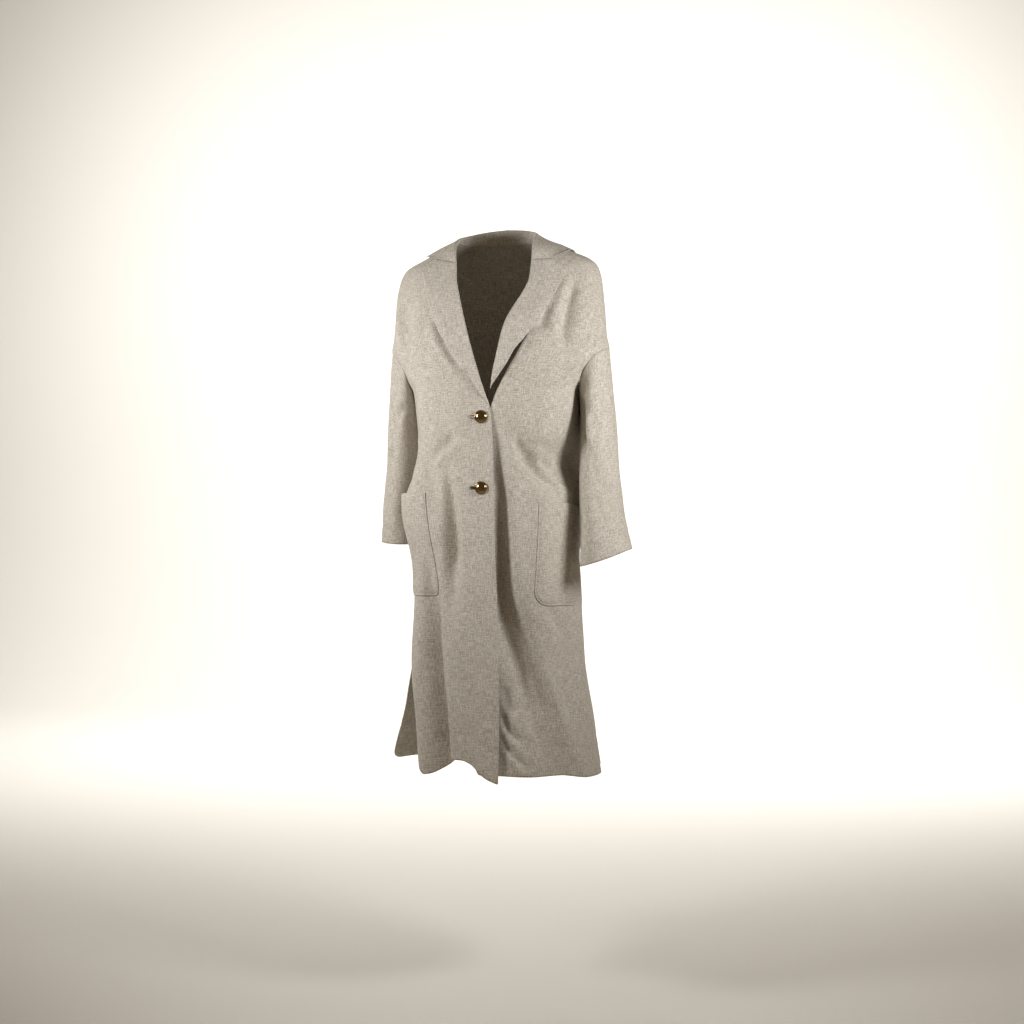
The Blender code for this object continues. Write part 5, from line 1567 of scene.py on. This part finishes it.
# %% Buttonholes
BUTTONHOLE_HEIGHT = 0.0034
BUTTONHOLE_REACH = (-0.021, 0.003)
BUTTONHOLE_DEPTH = 0.004


def evaluated_mesh(piece):
    """Plain mesh of a piece with its modifiers worked out."""
    return bpy.data.meshes.new_from_object(piece.evaluated_get(bpy.context.evaluated_depsgraph_get()))


def buttonhole_cutter():
    """One mesh with a box at each buttonhole."""
    boxes = bmesh.new()
    start, end = BUTTONHOLE_REACH
    size = Matrix.Diagonal((end - start, BUTTONHOLE_HEIGHT, BUTTONHOLE_DEPTH, 1))
    shift = Matrix.Translation(((start + end) / 2, 0, 0))
    for drop in BUTTON_DROPS.values():
        placement = facing(*closure_point(drop, 0.0))
        bmesh.ops.create_cube(boxes, size=1.0, matrix=placement @ shift @ size)
    mesh = bpy.data.meshes.new("buttonholes")
    boxes.to_mesh(mesh)
    boxes.free()
    return mesh


def cut_buttonholes(piece):
    cutter = in_scene("buttonholes", buttonhole_cutter())
    boolean = piece.modifiers.new("buttonholes", "BOOLEAN")
    boolean.operation = "DIFFERENCE"
    boolean.solver = "EXACT"
    boolean.object = cutter
    cut = evaluated_mesh(piece)
    piece.modifiers.clear()
    piece.data = cut
    bpy.data.objects.remove(cutter)
    print("buttonholes cut:", len(cut.polygons), "faces left")


cut_buttonholes(SHEETS["front_right_cloth"].piece)

# %% [markdown]
# ## Sewing
# Stitches repeat along a path, which is what Geometry Nodes are for: one tree spaces points along any line,
# lays a thread on each and turns it to lie in the cloth or across a buttonhole's edge. Every path is worked
# out from the cloth's own points, and carries the direction out of the cloth for the tree to read.

# %% Node tree for stitches along a path
STITCH_SIDES = 6
STITCH_RINGS = 5
STITCH_WANDER = 0.10
# The thread is dark brown, darker than the cloth: partly the thread's own colour, and partly painted shade,
# so that the buttonholes and the stitched edges read as dark lines.
THREAD_AND_SHADE_COLOUR = (0.24, 0.20, 0.15)
THREAD_AND_SHADE_DARK = (0.16, 0.13, 0.09)
THREAD_MOTTLE = 900.0
THREAD_ROUGHNESS = 0.8


def stitch_tree():
    """Geometry nodes that lay evenly spaced stitches along the edges of a mesh."""
    tree = bpy.data.node_groups.new("stitches", "GeometryNodeTree")
    tree.is_modifier = True
    group_sockets(tree, "INPUT", Path="Geometry", Spacing="Float", Length="Float", Thread="Float",
                  Across="Float", Seed="Int", Finish="Material")
    group_sockets(tree, "OUTPUT", Stitches="Geometry")
    nodes = Nodes(tree)
    given = tree.nodes.new("NodeGroupInput").outputs
    result = tree.nodes.new("NodeGroupOutput")
    line = nodes.add("GeometryNodeMeshToCurve", Mesh=given["Path"]).outputs["Curve"]
    dots = nodes.add("GeometryNodeCurveToPoints", Curve=line)
    dots.mode = "LENGTH"
    nodes.give(next(socket for socket in dots.inputs if socket.name == "Length"), given["Spacing"])
    outward = tree.nodes.new("GeometryNodeInputNamedAttribute")
    outward.data_type = "FLOAT_VECTOR"
    outward.inputs["Name"].default_value = "outward"
    axes = nodes.add("FunctionNodeAxesToRotation", Primary_Axis=outward.outputs["Attribute"],
                     Secondary_Axis=dots.outputs["Tangent"])
    axes.primary_axis = "Z"
    axes.secondary_axis = "X"
    wander = tree.nodes.new("FunctionNodeRandomValue")
    wander.inputs[2].default_value = -STITCH_WANDER
    wander.inputs[3].default_value = STITCH_WANDER
    nodes.give(wander.inputs["Seed"], given["Seed"])
    turn = nodes.math("ADD", given["Across"], wander.outputs[1])
    euler = nodes.add("ShaderNodeCombineXYZ", Z=turn).outputs[0]
    spin = nodes.add("FunctionNodeEulerToRotation", Euler=euler)
    turned = nodes.add("FunctionNodeRotateRotation", Rotation=axes.outputs[0], Rotate_By=spin.outputs[0])
    turned.rotation_space = "LOCAL"
    half = nodes.math("MULTIPLY", given["Length"], 0.5)
    size = nodes.add("ShaderNodeCombineXYZ", X=half, Y=given["Thread"], Z=given["Thread"]).outputs[0]
    thread = nodes.add("GeometryNodeMeshUVSphere", Segments=STITCH_SIDES, Rings=STITCH_RINGS, Radius=1.0)
    smooth = nodes.add("GeometryNodeSetShadeSmooth", Geometry=thread.outputs["Mesh"]).outputs[0]
    laid = nodes.add("GeometryNodeInstanceOnPoints", Points=dots.outputs["Points"], Instance=smooth,
                     Rotation=turned.outputs[0], Scale=size).outputs[0]
    real = nodes.add("GeometryNodeRealizeInstances", Geometry=laid).outputs[0]
    done = nodes.add("GeometryNodeSetMaterial", Geometry=real, Material=given["Finish"]).outputs[0]
    nodes.give(result.inputs["Stitches"], done)
    return tree


def thread_material():
    material, shader = new_material("sewing_thread")
    nodes = Nodes(material.node_tree)
    place = nodes.add("ShaderNodeTexCoord").outputs["Object"]
    mottle = nodes.add("ShaderNodeTexNoise", Vector=place, Scale=THREAD_MOTTLE).outputs["Fac"]
    nodes.give(shader.inputs["Base Color"], nodes.blend(mottle, (*THREAD_AND_SHADE_DARK, 1.0), (*THREAD_AND_SHADE_COLOUR, 1.0)))
    shader.inputs["Roughness"].default_value = THREAD_ROUGHNESS
    return material


STITCHES = stitch_tree()
FINISHES["sewing_thread"] = thread_material()
print("stitch tree:", len(STITCHES.nodes), "nodes")

# %% Paths of the sewing
HEM_ENDS = (0.015, 0.985)
HEM_SAMPLES = 160
CUFF_SAMPLES = 120
POCKET_SAMPLES = 60
POCKET_MOUTH_HEM = 0.026
BUTTONHOLE_EDGE = 0.0008
BUTTONHOLE_LIFT = 0.0002
BUTTONHOLE_SAMPLES = 40
TACK = ((0.0880, 0.6975), (0.0795, 0.6965))
TACK_SAMPLES = 6


def on_panel(panel, angle, drop, lift):
    """A path on a panel: its points and the directions out of the cloth."""
    return laid_on(panel, angle, drop, lift), normal_of(partial(cloth, panel), angle, drop)


def pocket_path(side, across_flat, down):
    """A path on a pocket from lengths across it and down it."""
    cut_in = corner_cut(side, down)
    across = (across_flat / POCKETS[side].width - cut_in) / (1 - 2 * cut_in)
    angle, drop, lift = (value[:, 0] for value in pocket_places(side, across[:, None], down))
    return on_panel(side, angle, drop, lift)


def pocket_seam(side):
    """Down one side of a pocket, round its foot and up the other, a little inside its edge."""
    inner = POCKET_CORNER - POCKET_GROOVE_IN
    upright = np.linspace(0.0, POCKET_HEIGHT - POCKET_CORNER, POCKET_SAMPLES, endpoint=False)
    turns = np.linspace(0, math.pi / 2, POCKET_SAMPLES // 3)
    across = np.concatenate([np.full_like(upright, POCKET_GROOVE_IN), POCKET_CORNER - inner * np.cos(turns)])
    down = np.concatenate([upright, POCKET_HEIGHT - POCKET_CORNER + inner * np.sin(turns)])
    other = POCKETS[side].width - across[::-1]
    return pocket_path(side, np.concatenate([across, other]), np.concatenate([down, down[::-1]]))


def pocket_mouth(side):
    width = POCKETS[side].width
    across = np.linspace(POCKET_GROOVE_IN, width - POCKET_GROOVE_IN, POCKET_SAMPLES)
    return pocket_path(side, across, np.full_like(across, POCKET_MOUTH_HEM))


def hem_path(panel):
    share = np.linspace(*HEM_ENDS, HEM_SAMPLES)
    nominal = np.full_like(share, HEM_DROP - HEM_DEPTH)
    return on_panel(panel, *panel_places(panel, share, nominal), hem_dimple(nominal))


def cuff_path(side):
    turn = np.linspace(0, 2 * math.pi, CUFF_SAMPLES)[None]
    points = sleeve_points(side, turn, np.full_like(turn, SLEEVES[side][-1].drop - CUFF_HEM))[0]
    return points, unit((points - points.mean(axis=0)) * LEVEL)


def buttonhole_path(drop):
    """Once round the edge of a buttonhole."""
    point, normal = closure_point(drop, BUTTONHOLE_LIFT)
    start, end = BUTTONHOLE_REACH
    turns = np.linspace(0, 2 * math.pi, BUTTONHOLE_SAMPLES)
    radius = BUTTONHOLE_HEIGHT / 2 + BUTTONHOLE_EDGE
    x = np.where(np.cos(turns) < 0, start, end) + radius * np.cos(turns)
    y = radius * np.sin(turns)
    placement = facing(point, normal)
    points = np.array([placement @ Vector((a, b, 0.0)) for a, b in zip(x, y)])
    return points, np.broadcast_to(normal, points.shape)


def pocket_tack():
    """Small bar of stitches beside the left pocket's lower corner."""
    (start_x, start_drop), (end_x, end_drop) = TACK
    drop = np.linspace(start_drop, end_drop, TACK_SAMPLES)
    return on_panel("left", angle_at(np.linspace(start_x, end_x, TACK_SAMPLES), drop), drop, 0.0)


Sewing = namedtuple("Sewing", "name paths spacing length thread across seed")
SEWING = (
    Sewing("pockets", [pocket_seam(side) for side in SIDES], 0.0032, 0.0022, 0.00030, 0.0, 3),
    Sewing("mouths", [pocket_mouth(side) for side in SIDES], 0.0034, 0.0020, 0.00022, 0.0, 5),
    Sewing("hems", [hem_path(panel) for panel in HEMS], 0.0075, 0.0016, 0.00022, 0.0, 7),
    Sewing("cuffs", [cuff_path(side) for side in SIDES], 0.0060, 0.0016, 0.00022, 0.0, 11),
    Sewing("buttonholes", [buttonhole_path(drop) for drop in BUTTON_DROPS.values()], 0.0008, 0.0018, 0.00032,
           math.pi / 2, 13),
    Sewing("tack", [pocket_tack()], 0.0022, 0.0020, 0.00035, 0.0, 17),
)
print("sewing:", sum(len(sewing.paths) for sewing in SEWING), "paths")

# %% Stitches as one mesh
def path_object(sewing):
    """Edges along the paths of a kind of sewing, each point with its direction out of the cloth."""
    points = np.concatenate([path for path, _ in sewing.paths])
    outward = np.concatenate([direction for _, direction in sewing.paths])
    starts = np.cumsum([0] + [len(path) for path, _ in sewing.paths])
    edges = [(i, i + 1) for a, b in zip(starts, starts[1:]) for i in range(a, b - 1)]
    mesh = bpy.data.meshes.new(sewing.name)
    mesh.from_pydata(points.tolist(), edges, [])
    directions = mesh.attributes.new("outward", "FLOAT_VECTOR", "POINT").data
    directions.foreach_set("vector", outward.astype(np.float32).ravel())
    return in_scene(sewing.name, mesh)


def stitches_of(sewing):
    holder = path_object(sewing)
    values = {"Spacing": sewing.spacing, "Length": sewing.length, "Thread": sewing.thread,
              "Across": sewing.across, "Seed": sewing.seed, "Finish": FINISHES["sewing_thread"]}
    modifier = holder.modifiers.new("stitches", "NODES")
    modifier.node_group = STITCHES
    for socket in STITCHES.interface.items_tree:
        if socket.name in values:
            modifier[socket.identifier] = values[socket.name]
    mesh = evaluated_mesh(holder)
    bpy.data.objects.remove(holder)
    print(sewing.name, "stitches:", len(mesh.polygons), "faces")
    return mesh


def add_stitching():
    gathered = bmesh.new()
    for sewing in SEWING:
        gathered.from_mesh(stitches_of(sewing))
    mesh = bpy.data.meshes.new("stitching")
    gathered.to_mesh(mesh)
    gathered.free()
    mesh.materials.append(FINISHES["sewing_thread"])
    return in_scene("stitching", mesh)


STITCHING = add_stitching()

# %% [markdown]
# ## Attaching the pieces
# Every piece rides on the coat's one body and takes the place of its imported solid, which is hidden, and the
# stitches ride with them. Each sheet's flat size and area, measured along its own rows and columns, were
# printed when it was made.

for name, sheet in SHEETS.items():
    node = name.removesuffix("_cloth")
    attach(sheet.piece, BODY_NAME)
    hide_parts(node)
for node, piece in BUTTONS.items():
    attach(piece, BODY_NAME)
    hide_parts(node)
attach(STITCHING, BODY_NAME)
print("declared", len(SHEETS), "sheets and", len(BUTTONS), "buttons")
